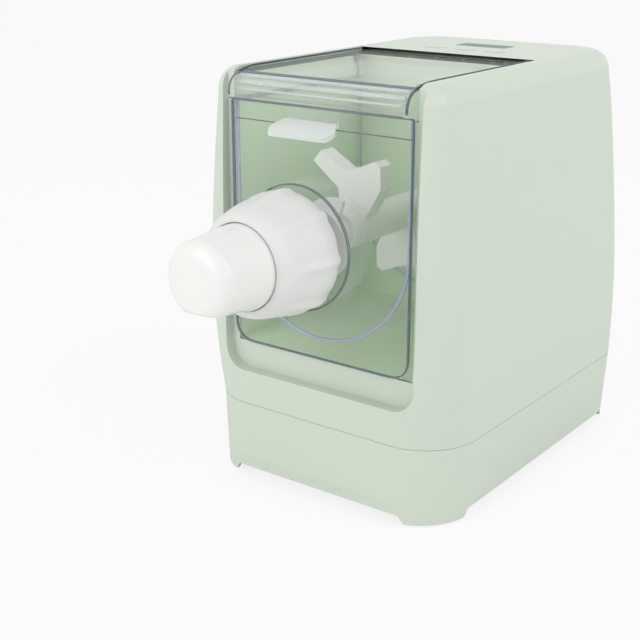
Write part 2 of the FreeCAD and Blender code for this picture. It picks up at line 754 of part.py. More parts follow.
# Circuit board with its larger parts, and the mains inlet in the rear of the base
mains = keep(new_body("power_board"))
pad(mains, "XY", standoff_top, standoff_top + board_t, 
    (rectangle, -mains_half, mains_half, mains_front, mains_rear))
chip_z = standoff_top + board_t
part_right = mains_half - 9
part_left = -part_right
keep(group("board_parts", [
    rod("capacitor", "Z", 8, chip_z, chip_z + 22, part_left + 8, mains_front + 18),
    rod("small_capacitor", "Z", 5, chip_z, chip_z + 12, part_left + 26, mains_front + 14),
    box("transformer", part_right - 28, part_right, mains_front + 8, mains_front + 34, chip_z, chip_z + 18),
    box("relay", part_left, part_left + 20, mains_rear - 36, mains_rear - 10, chip_z, chip_z + 15),
    box("heat_sink", part_right - 24, part_right - 4, mains_rear - 34, mains_rear - 8, chip_z, chip_z + 20),
]))
inlet = keep(new_body("power_inlet"))
inlet_y = seam_rear - wall
pad(inlet, "XZ", inlet_y - 3.4, inlet_y - 1.6,
    (rounded, inlet_x - inlet_half - 2.5, inlet_x + inlet_half + 2.5,
     inlet_z - inlet_high / 2 - 2.5, inlet_z + inlet_high / 2 + 2.5, 4, 4))
pad(inlet, "XZ", inlet_y + wall - inlet_len, inlet_y + wall,
    (rounded, inlet_x - inlet_half, inlet_x + inlet_half,
     inlet_z - inlet_high / 2, inlet_z + inlet_high / 2, 3, 3))
pocket(inlet, "XZ", inlet_y + wall - inlet_len + 4, inlet_y + wall + 5,
       (rounded, inlet_x - inlet_half + 2, inlet_x + inlet_half - 2,
        inlet_z - inlet_high / 2 + 2, inlet_z + inlet_high / 2 - 2, 2, 2))
pins = [rod("inlet_pin", "Y", 1.2, inlet_y + wall - inlet_len + 4, inlet_y + wall - 3,
            inlet_x + side * 4.3, inlet_z) for side in (-1, 1)]
keep(group("inlet_pins", pins))

# Front of the mixing tank: a flat clear plate with the outlet neck and its ring
plate_y = front_y + plate_wall
tank_front = keep(new_body("tank_front"))
pad(tank_front, "XZ", front_y, plate_y,
    (rounded, -tank_half, tank_half, tank_floor, tank_top, plate_corner, 1.5))
neck_end = front_y - neck_len
ring_front = front_y - ring_at - ring_t
turned(tank_front, [(front_y + 0.5, neck_bore), (front_y + 0.5, neck_base_r), (front_y, neck_base_r),
                    (front_y - ring_at, ring_r), (ring_front, ring_r), (ring_front, neck_r),
                    (neck_end, neck_r), (neck_end, neck_bore)], axis_z)
hollow_r = neck_base_r - tank_wall * 1.6
turned(tank_front, [(plate_y + 1, 0), (plate_y + 1, hollow_r), (front_y, hollow_r),
                    (front_y - ring_at + 2, neck_bore + 1.5), (front_y - ring_at - 1, neck_bore),
                    (neck_end - 1, neck_bore), (neck_end - 1, 0)], axis_z, cut=True)

# Mixing tank: an open trough with a rim along each side
tank = keep(new_body("mixing_tank"))
back_y = tank_rear - tank_wall
inner_r = trough_r - tank_wall
pad(tank, "XZ", plate_y, back_y, (trough, trough_r, axis_z, tank_top))
pocket(tank, "XZ", plate_y - 1, back_y + 1, (trough, inner_r, axis_z, tank_top + 1))
pad(tank, "XY", tank_top - rim_t, tank_top, (rectangle, -tank_half, tank_half, plate_y, back_y))
pocket(tank, "XY", tank_top - rim_t - 0.1, tank_top + 1,
       (rectangle, -inner_r, inner_r, plate_y - 1, back_y + 1))

# Rear wall of the tank with the paddle's bearing hole and the two hinge ears
tank = keep(new_body("tank_back"))
pad(tank, "XZ", back_y, tank_rear, (trough, trough_r, axis_z, tank_top))
pad(tank, "XY", tank_top - rim_t, tank_top, (rectangle, -tank_half, tank_half, back_y, tank_rear))
pocket(tank, "XZ", back_y - 1, tank_rear + 1, (circle, 0, axis_z, journal_r + run))
ear_in = lid_half + gap
for side in (-1, 1):
    low, high = (ear_in, tank_half) if side > 0 else (-tank_half, -ear_in)
    pad(tank, "YZ", low, high,
        (polygon, [(back_y, tank_top - 1), (tank_rear, tank_top - 1), (tank_rear, hinge_z + 1.6),
                   (tank_rear - 1.4, hinge_z + 3.4), (hinge_y - 2.2, hinge_z + 3.4),
                   (hinge_y - 3.6, hinge_z + 2), (hinge_y - 3.6, hinge_z - 3), (back_y, hinge_z - 6)]))
    pocket(tank, "YZ", low - as_dim(1), high + 1, (circle, hinge_y, hinge_z, pin_r))
pins = []
for side in (-1, 1):
    ends = (lid_half - 5, tank_half) if side > 0 else (-tank_half, -(lid_half - 5))
    pins.append(rod("hinge_pin", "X", pin_r, ends[0], ends[1], hinge_y, hinge_z))
keep(group("lid_hinge_pins", pins))

# Lid: a clear tray with a rounded front, and its slanted finger tab
lid = keep(new_body("tank_lid"))
lid_low = tank_top + lid_seat
lip_y = front_y - lid_lip
pad(lid, "YZ", -lid_half, lid_half, (polygon, [
    (lip_y + 1, lid_low), (lid_rear - 3, lid_low), (lid_rear, lid_low + 3.5), (lid_rear, lid_top),
    (front_y + 9.8, lid_top),
    (front_y + 1.5, lid_top - 3.2), (lip_y + 1.6, lid_top - 9.5)]))
pocket(lid, "XY", lid_low - 1, lid_top - lid_wall,
       (rectangle, -(lid_half - lid_wall), lid_half - lid_wall, front_y + 8, lid_rear - lid_wall))
pocket(lid, "XY", lid_low - 1, lid_low + 5.5,
       (rectangle, -(lid_half - lid_wall), lid_half - lid_wall, front_y - 2, front_y + 8.5))
pad(lid, "XY", lid_low, lid_low + 3, (rounded, -tank_half, tank_half, lip_y, front_y - 1, 4, 0.5))
for side in (-1, 1):
    ends = (lid_half - 8, lid_half + 1) if side > 0 else (-(lid_half + 1), -(lid_half - 8))
    pocket(lid, "YZ", ends[0], ends[1], (circle, hinge_y, hinge_z, pin_r + run))
tab = keep(new_body("lid_tab"))
tab_y = lip_y + 1.6
tab_tip = lip_y - tab_reach
tab_low = lid_low - tab_drop
tab_back = tab_y + tab_t
tab_knee = lid_low - tab_bend
pad(tab, "YZ", -tab_half, tab_half, (polygon, [
    (tab_back, lid_low), (tab_y - 0.4, lid_low), (tab_y - 0.4, tab_knee + 1.1), (tab_tip, tab_low + tab_t * 0.9),
    (tab_tip, tab_low + 0.4), (tab_tip + 0.5, tab_low), (tab_tip + tab_t * 0.9, tab_low),
    (tab_back, tab_knee - 1.8)]))
for side in (-1, 1):
    pocket(tab, "XY", tab_low - 1, lid_low + 1, (polygon, [
        (tab_root * side, tab_back + 1), (tab_root * side, tab_y - 2), (tab_half * side, tab_y - 9.5),
        (tab_half * side, tab_tip + 6.5), ((tab_half - 0.8) * side, tab_tip + 4),
        ((tab_half - 2.6) * side, tab_tip + 1.8), ((tab_half - 5.4) * side, tab_tip + 0.5),
        ((tab_half - 9) * side, tab_tip - 0.1), ((tab_half - 9) * side, tab_tip - 2),
        ((tab_half + 3) * side, tab_tip - 2), ((tab_half + 3) * side, tab_back + 1)]))

# Mixing paddle: a hub with two pairs of arms, half a turn apart
paddle = keep(new_body("mixing_paddle"))
hub_start = front_y + hub_front
hub_end = back_y - 1
hub_tail = tank_rear + 1.5
turned(paddle, [(hub_start, 0), (hub_start, hub_r), (hub_end, hub_r), (hub_end, journal_r),
                (hub_tail, journal_r), (hub_tail, 0)], axis_z)
arms = [(-9, 0), (-13.5, 25.5), (-34, 41.5), (-27.5, 49), (-8.5, 38), (-3, 38.5), (15.5, 46), (20, 43), (20.5, 28),
        (9, 8), (9, 0)]
for distance, side in ((arm_front, 1), (arm_rear, -1)):
    start = front_y + distance
    points = [(x * side, axis_z + z * side) for x, z in arms]
    pad(paddle, "XZ", start, start + arm_t, (polygon, points))


def hexagon(sketch, radius):
    """Draw a regular hexagon about the drive axis."""
    radius = as_dim(radius)
    corners = [(radius * round(math.cos(math.radians(60 * k)), 6),
                axis_z + radius * round(math.sin(math.radians(60 * k)), 6)) for k in range(6)]
    polygon(sketch, corners)


pocket(paddle, "XZ", hub_tail - socket, hub_tail + 1, (hexagon, key_flat + 0.35))

# Auger: a core with one helical blade, keyed into the front of the paddle
auger = keep(new_body("auger_screw"))
auger_start = neck_end + 2
auger_end = hub_start - 0.3
turned(auger, [(auger_start, 0), (auger_start, auger_core - 2), (auger_start + 6, auger_core),
               (auger_end, auger_core), (auger_end, 0)], axis_z)
blade = draw(auger, "YZ", 0, (polygon, [
    (auger_start + 3, auger_core - 1), (auger_start + 3 + blade_t * 1.6, auger_core - 1),
    (auger_start + 3 + blade_t, auger_r), (auger_start + 3, auger_r)]), (0, axis_z))
helix = auger.newObject("PartDesign::AdditiveHelix", "blade")
helix.Profile = blade
helix.ReferenceAxis = (blade, ["H_Axis"])
helix.Mode = 0
bind(helix, "Pitch", auger_pitch)
bind(helix, "Height", auger_end - auger_start - blade_t * 2 - 6)
doc.recompute()
pad(auger, "XZ", auger_end - 0.5, auger_end + key_depth_auger, (hexagon, key_flat))
pocket(paddle, "XZ", hub_start - 1, auger_end + key_depth_auger + 0.3, (hexagon, key_flat + 0.02))

# Collar: a ribbed nut that draws the outlet head against the neck
collar = keep(new_body("collar_nut"))
c_rear = front_y - collar_rear
c_front = front_y - collar_front
bore = neck_r + thread_gap
hole = head_rear_r + thread_gap
c_wide = front_y - collar_wide
c_mid = front_y - collar_mid
c_face = front_y - collar_face
turned(collar, [(c_rear, bore), (c_rear, collar_rear_r - rib_out - 1), (c_rear - 1.5, collar_rear_r - rib_out),
                (c_wide, collar_wide_r - rib_out), (c_mid, collar_mid_r), (c_face, collar_front_r),
                (c_front, collar_front_r - 3), (c_front, hole), (c_front + collar_wall, hole),
                (c_front + collar_wall, bore)], axis_z)
rib = turned(collar, [(c_rear - 2, bore + 1), (c_rear - 2, collar_rear_r), (c_wide, collar_wide_r),
                      (c_mid + 2, collar_mid_r + 1), (c_mid - 6, collar_mid_r - 2.6)], axis_z)
rib.Midplane = True
bind(rib, "Angle", rib_angle)
spin = [f for f in collar.Origin.OriginFeatures if f.Role == "Y_Axis"][0]
axis_line = sketch_on(collar, "XZ", 0, (0, axis_z))
axis_line.addGeometry(Part.LineSegment(Vector(0, 0, 0), Vector(10, 0, 0)), True)
ribs = collar.newObject("PartDesign::PolarPattern", "ribs")
ribs.Originals = [rib]
ribs.Axis = (axis_line, ["N_Axis"])
ribs.Angle = 360
ribs.Occurrences = 8
collar.Tip = ribs
doc.recompute()

# Outlet head: a closed cup with a flat underside, held by its flange inside the collar
head = keep(new_body("outlet_head"))
h_flange = neck_end - 0.3
h_body = c_front + collar_wall + 0.4
h_nose = front_y - head_nose
turned(head, [(h_flange, 0), (h_flange, head_flange_r), (h_body, head_flange_r), (h_body, head_rear_r),
              (c_front, head_rear_r), (h_nose + head_round, head_front_r + 1),
              (h_nose + head_round * 0.45, head_front_r - 1), (h_nose + head_round * 0.15, head_front_r - 4),
              (h_nose, head_front_r - 8), (h_nose, 0)], axis_z)
turned(head, [(h_flange + 1, 0), (h_flange + 1, neck_bore - 2), (c_front, head_rear_r - head_wall),
              (h_nose + head_round, head_front_r - head_wall), (h_nose + head_wall + 2, head_front_r - 8),
              (h_nose + head_wall + 2, 0)], axis_z, cut=True)
sole = axis_z - outlet_drop
h_cut = c_front - 1.2
pocket(head, "XY", sole - 30, sole, (rectangle, -40, 40, h_nose - 5, h_cut))
pad(head, "XY", sole, sole + die_depth + die_t + 1.5,
    (rounded, -(outlet_half + 2.4), outlet_half + 2.4, front_y - outlet_front - 2.4,
     front_y - outlet_rear + 1.2, 5, 3))
pocket(head, "XY", sole - 1, sole + die_depth + die_t,
       (rounded, -outlet_half, outlet_half, front_y - outlet_front, front_y - outlet_rear, 4, 4))
pocket(head, "XY", sole, sole + die_depth + die_t + 8,
       (rounded, -(outlet_half - 2), outlet_half - 2, front_y - outlet_front + 2,
        front_y - outlet_rear - 2, 3, 3))

# Die plate with its grid of round holes
die = keep(new_body("die_plate"))
die_z = sole + die_depth
pad(die, "XY", die_z, die_z + die_t - 0.1,
    (rounded, -(outlet_half - 0.2), outlet_half - 0.2, front_y - outlet_front + 0.2,
     front_y - outlet_rear - 0.2, 3.8, 3.8))
die_middle = front_y - (outlet_front + outlet_rear) / 2
first = draw(die, "XY", die_z + die_t + 0.5, (circle, die_step * -2.5, die_middle - die_step * 2, die_hole_r))
hole_cut = die.newObject("PartDesign::Pocket", "hole")
hole_cut.Profile = first
bind(hole_cut, "Length", die_t + 2)
doc.recompute()
across = die.newObject("PartDesign::LinearPattern", "hole_row")
across.Originals = [hole_cut]
across.Direction = (first, ["H_Axis"])
bind(across, "Length", die_step * 5)
across.Occurrences = 6
die.Tip = across
doc.recompute()
grid = die.newObject("PartDesign::MultiTransform", "hole_grid")
grid.Originals = [hole_cut]
row_pattern = die.newObject("PartDesign::LinearPattern", "rows_across")
row_pattern.Direction = (first, ["H_Axis"])
bind(row_pattern, "Length", die_step * 5)
row_pattern.Occurrences = 6
column_pattern = die.newObject("PartDesign::LinearPattern", "rows_along")
column_pattern.Direction = (first, ["V_Axis"])
bind(column_pattern, "Length", die_step * 4)
column_pattern.Occurrences = 5
grid.Transformations = [row_pattern, column_pattern]
die.Tip = grid
doc.recompute()

# Seal between the outlet head and the neck
keep(ring("head_seal", "Y", head_flange_r - 1, neck_bore + 1, h_flange + 0.02, neck_end - 0.02, 0, axis_z))

# Gearbox: two case halves, two gear stages and their shafts
second_z = axis_z - module_slow * (teeth_second + teeth_output) / 2
motor_z = second_z - module_fast * (teeth_motor + teeth_wheel) / 2
case_rear = case_front + case_len
case_low = motor_z - 26
case_high = axis_z + module_slow * (teeth_output + 2) / 2 + case_margin
front_case = keep(new_body("gearbox_front"))
pad(front_case, "XZ", case_front, case_rear,
    (rounded, -case_half, case_half, case_low, case_high, 14, 20))
pocket(front_case, "XZ", case_front + case_wall, case_rear + 1,
       (rounded, -(case_half - case_wall), case_half - case_wall, case_low + case_wall,
        case_high - case_wall, 11, 17))
pocket(front_case, "XZ", case_front - 1, case_front + case_wall + 1, (circle, 0, axis_z, bearing_r))
pad(front_case, "XZ", case_front + 0.5, case_front + case_wall + 1.5,
    (circle, 0, second_z, axle_r + 4))
pocket(front_case, "XZ", case_front + case_wall, case_front + case_wall + 3, (circle, 0, second_z, axle_r))
rear_case = keep(new_body("gearbox_rear"))
pad(rear_case, "XZ", case_rear, case_rear + case_wall,
    (rounded, -case_half, case_half, case_low, case_high, 14, 20))
pocket(rear_case, "XZ", case_rear - 1, case_rear + case_wall + 1, (circle, 0, axis_z, bearing_r))
pocket(rear_case, "XZ", case_rear - 1, case_rear + case_wall + 1, (circle, 0, motor_z, 9))
pocket(rear_case, "XZ", case_rear - 1, case_rear + 2, (circle, 0, second_z, axle_r))
keep(rod("intermediate_axle", "Y", axle_r, case_front + case_wall, case_rear + 2, 0, second_z))
front_ring = ring("front_ring", "Y", bearing_r, shaft_r + run, case_front, case_front + bearing_t, 0, axis_z)
rear_ring = ring("rear_ring", "Y", bearing_r, shaft_r + run, case_rear - bearing_t + case_wall,
                 case_rear + case_wall, 0, axis_z)
keep(group("shaft_bearings", [front_ring, rear_ring]))
keep(ring("shaft_seal", "Y", bearing_r, shaft_r + run, bay_rear - 0.2, case_front - 0.1, 0, axis_z))

shaft = keep(new_body("drive_shaft"))
shaft_front = hub_tail - socket + 2
shaft_rear = case_rear + case_wall + 1
turned(shaft, [(hub_tail + 1, 0), (hub_tail + 1, shaft_r), (shaft_rear, shaft_r), (shaft_rear, 0)], axis_z)
pad(shaft, "XZ", shaft_front, hub_tail + 1.5, (hexagon, key_flat))


def gear_outline(module, teeth, turn):
    """Return one gear's closed outline: flanks as involutes of a 20 degree gear, a little thinned."""
    pitch = module * teeth / 2
    base_radius = pitch * math.cos(math.radians(20))
    tip = pitch + module
    root = pitch - 1.25 * module
    roll = math.tan(math.radians(20)) - math.radians(20)
    half_tooth = (math.pi * module / 2 - 0.16 * module) / 2 / pitch
    points = []
    for tooth in range(teeth):
        middle = 2 * math.pi * tooth / teeth + turn
        flank = []
        for step in range(5):
            radius = max(base_radius, root) + (tip - max(base_radius, root)) * step / 4
            bend = math.acos(min(1, base_radius / radius))
            flank.append((radius, half_tooth + roll - (math.tan(bend) - bend)))
        low = half_tooth + roll
        rising = [(root, -low)] + [(radius, -angle) for radius, angle in flank]
        falling = [(radius, angle) for radius, angle in reversed(flank)] + [(root, low)]
        for radius, angle in rising + falling:
            spot = middle + angle
            points.append((radius * math.sin(spot), radius * math.cos(spot)))
    return points


def gear(module, teeth, start, end, height, bore_r, turn=0.0):
    """Return a spur gear's solid about a line parallel to Y, with its bore."""
    outline = gear_outline(module.value, int(teeth.value), turn)
    corners = [Vector(x, start.value, height.value + z) for x, z in outline]
    wire = Part.makePolygon(corners + [corners[0]])
    solid = Part.Face(wire).extrude(Vector(0, end.value - start.value, 0))
    bore_at = Vector(0, start.value - 1, height.value)
    hole_tool = Part.makeCylinder(bore_r.value, end.value - start.value + 2, bore_at, Vector(0, 1, 0))
    return solid.cut(hole_tool)


def feature(label, shape):
    """Store a shape that no sketch or primitive gives."""
    thing = doc.addObject("Part::Feature", label)
    thing.Shape = shape
    return keep(thing)


# The wheels stand so that a tooth of one meets a gap of the other on the line of centres
fast_start = case_front + case_wall + 5
slow_start = fast_start + wheel_t + 4
slow_end = slow_start + output_t
wheel_shape = gear(module_fast, teeth_wheel, fast_start, fast_start + wheel_t, second_z, axle_r + run)
pinion_shape = gear(module_slow, teeth_second, slow_start - 1, slow_end + 1, second_z, axle_r + run)
boss = Part.makeCylinder((axle_r + 5).value, (slow_start - fast_start).value - 0.5,
                         Vector(0, fast_start.value + 0.25, second_z.value), Vector(0, 1, 0))
boss_hole = Part.makeCylinder((axle_r + run).value, 40, Vector(0, fast_start.value - 5, second_z.value),
                              Vector(0, 1, 0))
feature("compound_gear", wheel_shape.fuse(pinion_shape).fuse(boss).cut(boss_hole).removeSplitter())
output_turn = math.pi / teeth_output.value
feature("output_gear", gear(module_slow, teeth_output, slow_start, slow_end, axis_z, shaft_r, output_turn))
motor_turn = math.pi / teeth_motor.value
feature("motor_pinion", gear(module_fast, teeth_motor, fast_start - 1, fast_start + wheel_t + 1,
                             motor_z, rotor_r, motor_turn))

# Motor with its rotor shaft and cooling fan
motor_front = case_rear + case_wall
motor_back = motor_front + motor_len
can = keep(new_body("motor_can"))
turned(can, [(motor_front, rotor_r + run), (motor_front, motor_r), (motor_back - 3, motor_r),
             (motor_back, motor_r - 3), (motor_back, rotor_r + run)], motor_z)
keep(rod("rotor_shaft", "Y", rotor_r, fast_start - 2, motor_back + 3 + fan_t, 0, motor_z))
fan = keep(new_body("cooling_fan"))
fan_start = motor_back + 2
turned(fan, [(fan_start, rotor_r), (fan_start, 8), (fan_start + fan_t, 8), (fan_start + fan_t, rotor_r)],
       motor_z)
fan_blade = pad(fan, "XZ", fan_start + 1, fan_start + fan_t - 1, (polygon, [
    (-1.2, motor_z + 7), (1.2, motor_z + 7), (3, motor_z + fan_r), (-0.5, motor_z + fan_r)]))
fan_axis = sketch_on(fan, "XZ", 0, (0, motor_z))
fan_axis.addGeometry(Part.LineSegment(Vector(0, 0, 0), Vector(10, 0, 0)), True)
blades = fan.newObject("PartDesign::PolarPattern", "blades")
blades.Originals = [fan_blade]
blades.Axis = (fan_axis, ["N_Axis"])
blades.Angle = 360
blades.Occurrences = 9
fan.Tip = blades
doc.recompute()

case_screws = []
for side in (-1, 1):
    for level in (case_low + 10, case_high - 14):
        where = (case_half - 12) * side
        case_screws.append(rod("case_screw", "Y", screw_head_r, case_rear + case_wall,
                               case_rear + case_wall + screw_head_t, where, level))
keep(group("gearbox_screws", case_screws))

# Check every object and write one file for each piece
doc.recompute()
for thing in doc.Objects:
    if "Invalid" in thing.State or "Error" in thing.State:
        raise RuntimeError(thing.Name + " " + thing.Label + " failed: " + str(thing.State))
os.makedirs("parts", exist_ok=True)
for thing in nodes:
    if thing.Shape.isNull() or not thing.Shape.isValid():
        raise RuntimeError(thing.Label + " has no valid shape.")
    thing.Shape.exportStep(f"parts/{thing.Label}.step")
    print(thing.Label, len(thing.Shape.Solids), round(thing.Shape.Volume / 1000, 2))
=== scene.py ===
"""Electric pasta maker: surfaces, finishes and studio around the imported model.

Lengths are in metres. +Z is up, the nose points along -Y and +X is the viewer's right.
"""
from __future__ import annotations

import logging
import math
from dataclasses import dataclass
from enum import Enum
from typing import Callable

import bpy
import numpy as np
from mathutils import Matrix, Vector


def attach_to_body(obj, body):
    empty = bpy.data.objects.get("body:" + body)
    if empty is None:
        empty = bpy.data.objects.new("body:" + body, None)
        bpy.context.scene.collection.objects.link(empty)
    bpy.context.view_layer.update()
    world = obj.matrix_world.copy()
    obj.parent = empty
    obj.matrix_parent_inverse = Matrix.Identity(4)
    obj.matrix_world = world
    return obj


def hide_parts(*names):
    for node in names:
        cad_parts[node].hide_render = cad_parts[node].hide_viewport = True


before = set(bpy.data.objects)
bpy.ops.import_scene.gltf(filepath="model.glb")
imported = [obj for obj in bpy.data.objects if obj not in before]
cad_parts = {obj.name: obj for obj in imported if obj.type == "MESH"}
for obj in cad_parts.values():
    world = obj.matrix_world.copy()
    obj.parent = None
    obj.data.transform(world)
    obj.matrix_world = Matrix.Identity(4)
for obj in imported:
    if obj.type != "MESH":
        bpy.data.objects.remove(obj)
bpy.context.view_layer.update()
log = logging.getLogger("pasta_maker")

Colour = tuple[float, float, float]
Point = tuple[float, float, float]
Shape = tuple[np.ndarray, list]

COAT_ROUGHNESS = 0.12
RIM_BLEND = 0.35
SHADOW_SHARE = 0.12
GRAIN_DEPTH = 0.0002
LINE_SIDES = 6


class Kind(Enum):
    """How a finish lets light through."""

    SOLID = "solid"
    CLEAR = "clear"
    METAL = "metal"


def tone(red: int, green: int, blue: int) -> Colour:
    """Turn an 8-bit screen colour into the linear colour that a shader takes.

    Args:
        red: Red from 0 to 255.
        green: Green from 0 to 255.
        blue: Blue from 0 to 255.

    Returns:
        The three linear values.
    """
    values = np.array([red, green, blue]) / 255
    linear = np.where(values <= 0.04045, values / 12.92, ((values + 0.055) / 1.055) ** 2.4)
    return tuple(float(value) for value in linear)


class Effects:
    """The node groups that several finishes share, each built once."""

    made: dict[str, bpy.types.NodeTree] = {}

    @classmethod
    def start(cls, name: str, inputs: dict[str, float], outputs: list[str],
              colours: tuple[str, ...] = ()) -> bpy.types.NodeTree:
        """Make an empty group with named sockets.

        Args:
            name: The group's name.
            inputs: Each input's name and default.
            outputs: The outputs' names.
            colours: The sockets that carry a colour.

        Returns:
            The new node tree.
        """
        tree = bpy.data.node_groups.new(name, "ShaderNodeTree")
        for label in colours:
            if label not in outputs:
                tree.interface.new_socket(label, in_out="INPUT", socket_type="NodeSocketColor")
        for label, value in inputs.items():
            socket = tree.interface.new_socket(label, in_out="INPUT", socket_type="NodeSocketFloat")
            socket.default_value = value
        for label in outputs:
            kind = "NodeSocketColor" if label in colours else "NodeSocketFloat"
            tree.interface.new_socket(label, in_out="OUTPUT", socket_type=kind)
        cls.made[name] = tree
        return tree

    @classmethod
    def drift(cls) -> bpy.types.NodeTree:
        """Return the group that lets a colour and a gloss wander slowly over the surface."""
        if "slow_drift" in cls.made:
            return cls.made["slow_drift"]
        inputs = {"Amount": 0.03, "Scale": 9.0, "Gloss": 0.35, "Gloss Change": 0.06}
        tree = cls.start("slow_drift", inputs, ["Colour", "Roughness"], ("Tint", "Colour"))
        add, link = tree.nodes.new, tree.links.new
        source, sink = add("NodeGroupInput"), add("NodeGroupOutput")
        place = add("ShaderNodeTexCoord")
        cloud = add("ShaderNodeTexNoise")
        cloud.inputs["Detail"].default_value = 3.0
        link(place.outputs["Object"], cloud.inputs["Vector"])
        link(source.outputs["Scale"], cloud.inputs["Scale"])
        centred = add("ShaderNodeMath")
        centred.operation = "SUBTRACT"
        centred.inputs[1].default_value = 0.5
        link(cloud.outputs["Fac"], centred.inputs[0])
        swing = add("ShaderNodeMath")
        swing.operation = "MULTIPLY_ADD"
        swing.inputs[2].default_value = 1.0
        link(centred.outputs[0], swing.inputs[0])
        link(source.outputs["Amount"], swing.inputs[1])
        scaled = add("ShaderNodeVectorMath")
        scaled.operation = "SCALE"
        link(source.outputs["Tint"], scaled.inputs[0])
        link(swing.outputs[0], scaled.inputs["Scale"])
        link(scaled.outputs[0], sink.inputs["Colour"])
        smear = add("ShaderNodeTexNoise")
        smear.inputs["Scale"].default_value = 38.0
        smear.inputs["Detail"].default_value = 4.0
        link(place.outputs["Object"], smear.inputs["Vector"])
        gloss = add("ShaderNodeMath")
        gloss.operation = "MULTIPLY_ADD"
        link(smear.outputs["Fac"], gloss.inputs[0])
        link(source.outputs["Gloss Change"], gloss.inputs[1])
        link(source.outputs["Gloss"], gloss.inputs[2])
        link(gloss.outputs[0], sink.inputs["Roughness"])
        return tree

    @classmethod
    def grain(cls) -> bpy.types.NodeTree:
        """Return the group that puts out the height of a moulded skin: fine grain on soft waves."""
        if "moulded_grain" in cls.made:
            return cls.made["moulded_grain"]
        tree = cls.start("moulded_grain", {"Grain Scale": 2600.0, "Wave": 0.25}, ["Height"])
        add, link = tree.nodes.new, tree.links.new
        source, sink = add("NodeGroupInput"), add("NodeGroupOutput")
        place = add("ShaderNodeTexCoord")
        fine, wide = add("ShaderNodeTexNoise"), add("ShaderNodeTexNoise")
        wide.inputs["Scale"].default_value = 24.0
        wide.inputs["Detail"].default_value = 1.0
        link(source.outputs["Grain Scale"], fine.inputs["Scale"])
        for noise in (fine, wide):
            link(place.outputs["Object"], noise.inputs["Vector"])
        total = add("ShaderNodeMath")
        total.operation = "MULTIPLY_ADD"
        link(wide.outputs["Fac"], total.inputs[0])
        link(source.outputs["Wave"], total.inputs[1])
        link(fine.outputs["Fac"], total.inputs[2])
        link(total.outputs[0], sink.inputs["Height"])
        return tree


@dataclass(frozen=True)
class Finish:
    """One material: its colour, gloss, grain and how it lets light through."""

    name: str
    colour: Colour
    roughness: float = 0.35
    gloss_change: float = 0.06
    drift: float = 0.03
    drift_scale: float = 9.0
    grain: float = 0.05
    grain_scale: float = 2600.0
    wave: float = 0.2
    coat: float = 0.0
    alpha: float = 1.0
    rim_alpha: float = 0.6
    kind: Kind = Kind.SOLID

    def material(self) -> bpy.types.Material:
        """Build the material once and return it."""
        known = bpy.data.materials.get(self.name)
        if known:
            return known
        made = bpy.data.materials.new(self.name)
        made.use_nodes = True
        tree = made.node_tree
        shader = tree.nodes["Principled BSDF"]
        shader.inputs["Metallic"].default_value = 1.0 if self.kind is Kind.METAL else 0.0
        shader.inputs["Coat Weight"].default_value = self.coat
        shader.inputs["Coat Roughness"].default_value = COAT_ROUGHNESS
        shader.inputs["Alpha"].default_value = self.alpha
        if self.kind is Kind.CLEAR:
            facing = tree.nodes.new("ShaderNodeLayerWeight")
            facing.inputs["Blend"].default_value = RIM_BLEND
            level = tree.nodes.new("ShaderNodeMapRange")
            level.inputs["To Min"].default_value = self.alpha
            level.inputs["To Max"].default_value = self.rim_alpha
            tree.links.new(facing.outputs["Facing"], level.inputs["Value"])
            path = tree.nodes.new("ShaderNodeLightPath")
            shade = tree.nodes.new("ShaderNodeMapRange")
            shade.inputs["To Min"].default_value = 1.0
            shade.inputs["To Max"].default_value = SHADOW_SHARE
            tree.links.new(path.outputs["Is Shadow Ray"], shade.inputs["Value"])
            mixed = tree.nodes.new("ShaderNodeMath")
            mixed.operation = "MULTIPLY"
            tree.links.new(level.outputs[0], mixed.inputs[0])
            tree.links.new(shade.outputs[0], mixed.inputs[1])
            tree.links.new(mixed.outputs[0], shader.inputs["Alpha"])
        wander = tree.nodes.new("ShaderNodeGroup")
        wander.node_tree = Effects.drift()
        wander.inputs["Tint"].default_value = (*self.colour, 1.0)
        wander.inputs["Amount"].default_value = self.drift
        wander.inputs["Scale"].default_value = self.drift_scale
        wander.inputs["Gloss"].default_value = self.roughness - self.gloss_change / 2
        wander.inputs["Gloss Change"].default_value = self.gloss_change
        tree.links.new(wander.outputs["Colour"], shader.inputs["Base Color"])
        tree.links.new(wander.outputs["Roughness"], shader.inputs["Roughness"])
        skin = tree.nodes.new("ShaderNodeGroup")
        skin.node_tree = Effects.grain()
        skin.inputs["Grain Scale"].default_value = self.grain_scale
        skin.inputs["Wave"].default_value = self.wave
        bump = tree.nodes.new("ShaderNodeBump")
        bump.inputs["Strength"].default_value = self.grain
        bump.inputs["Distance"].default_value = GRAIN_DEPTH
        tree.links.new(skin.outputs["Height"], bump.inputs["Height"])
        tree.links.new(bump.outputs["Normal"], shader.inputs["Normal"])
        return made


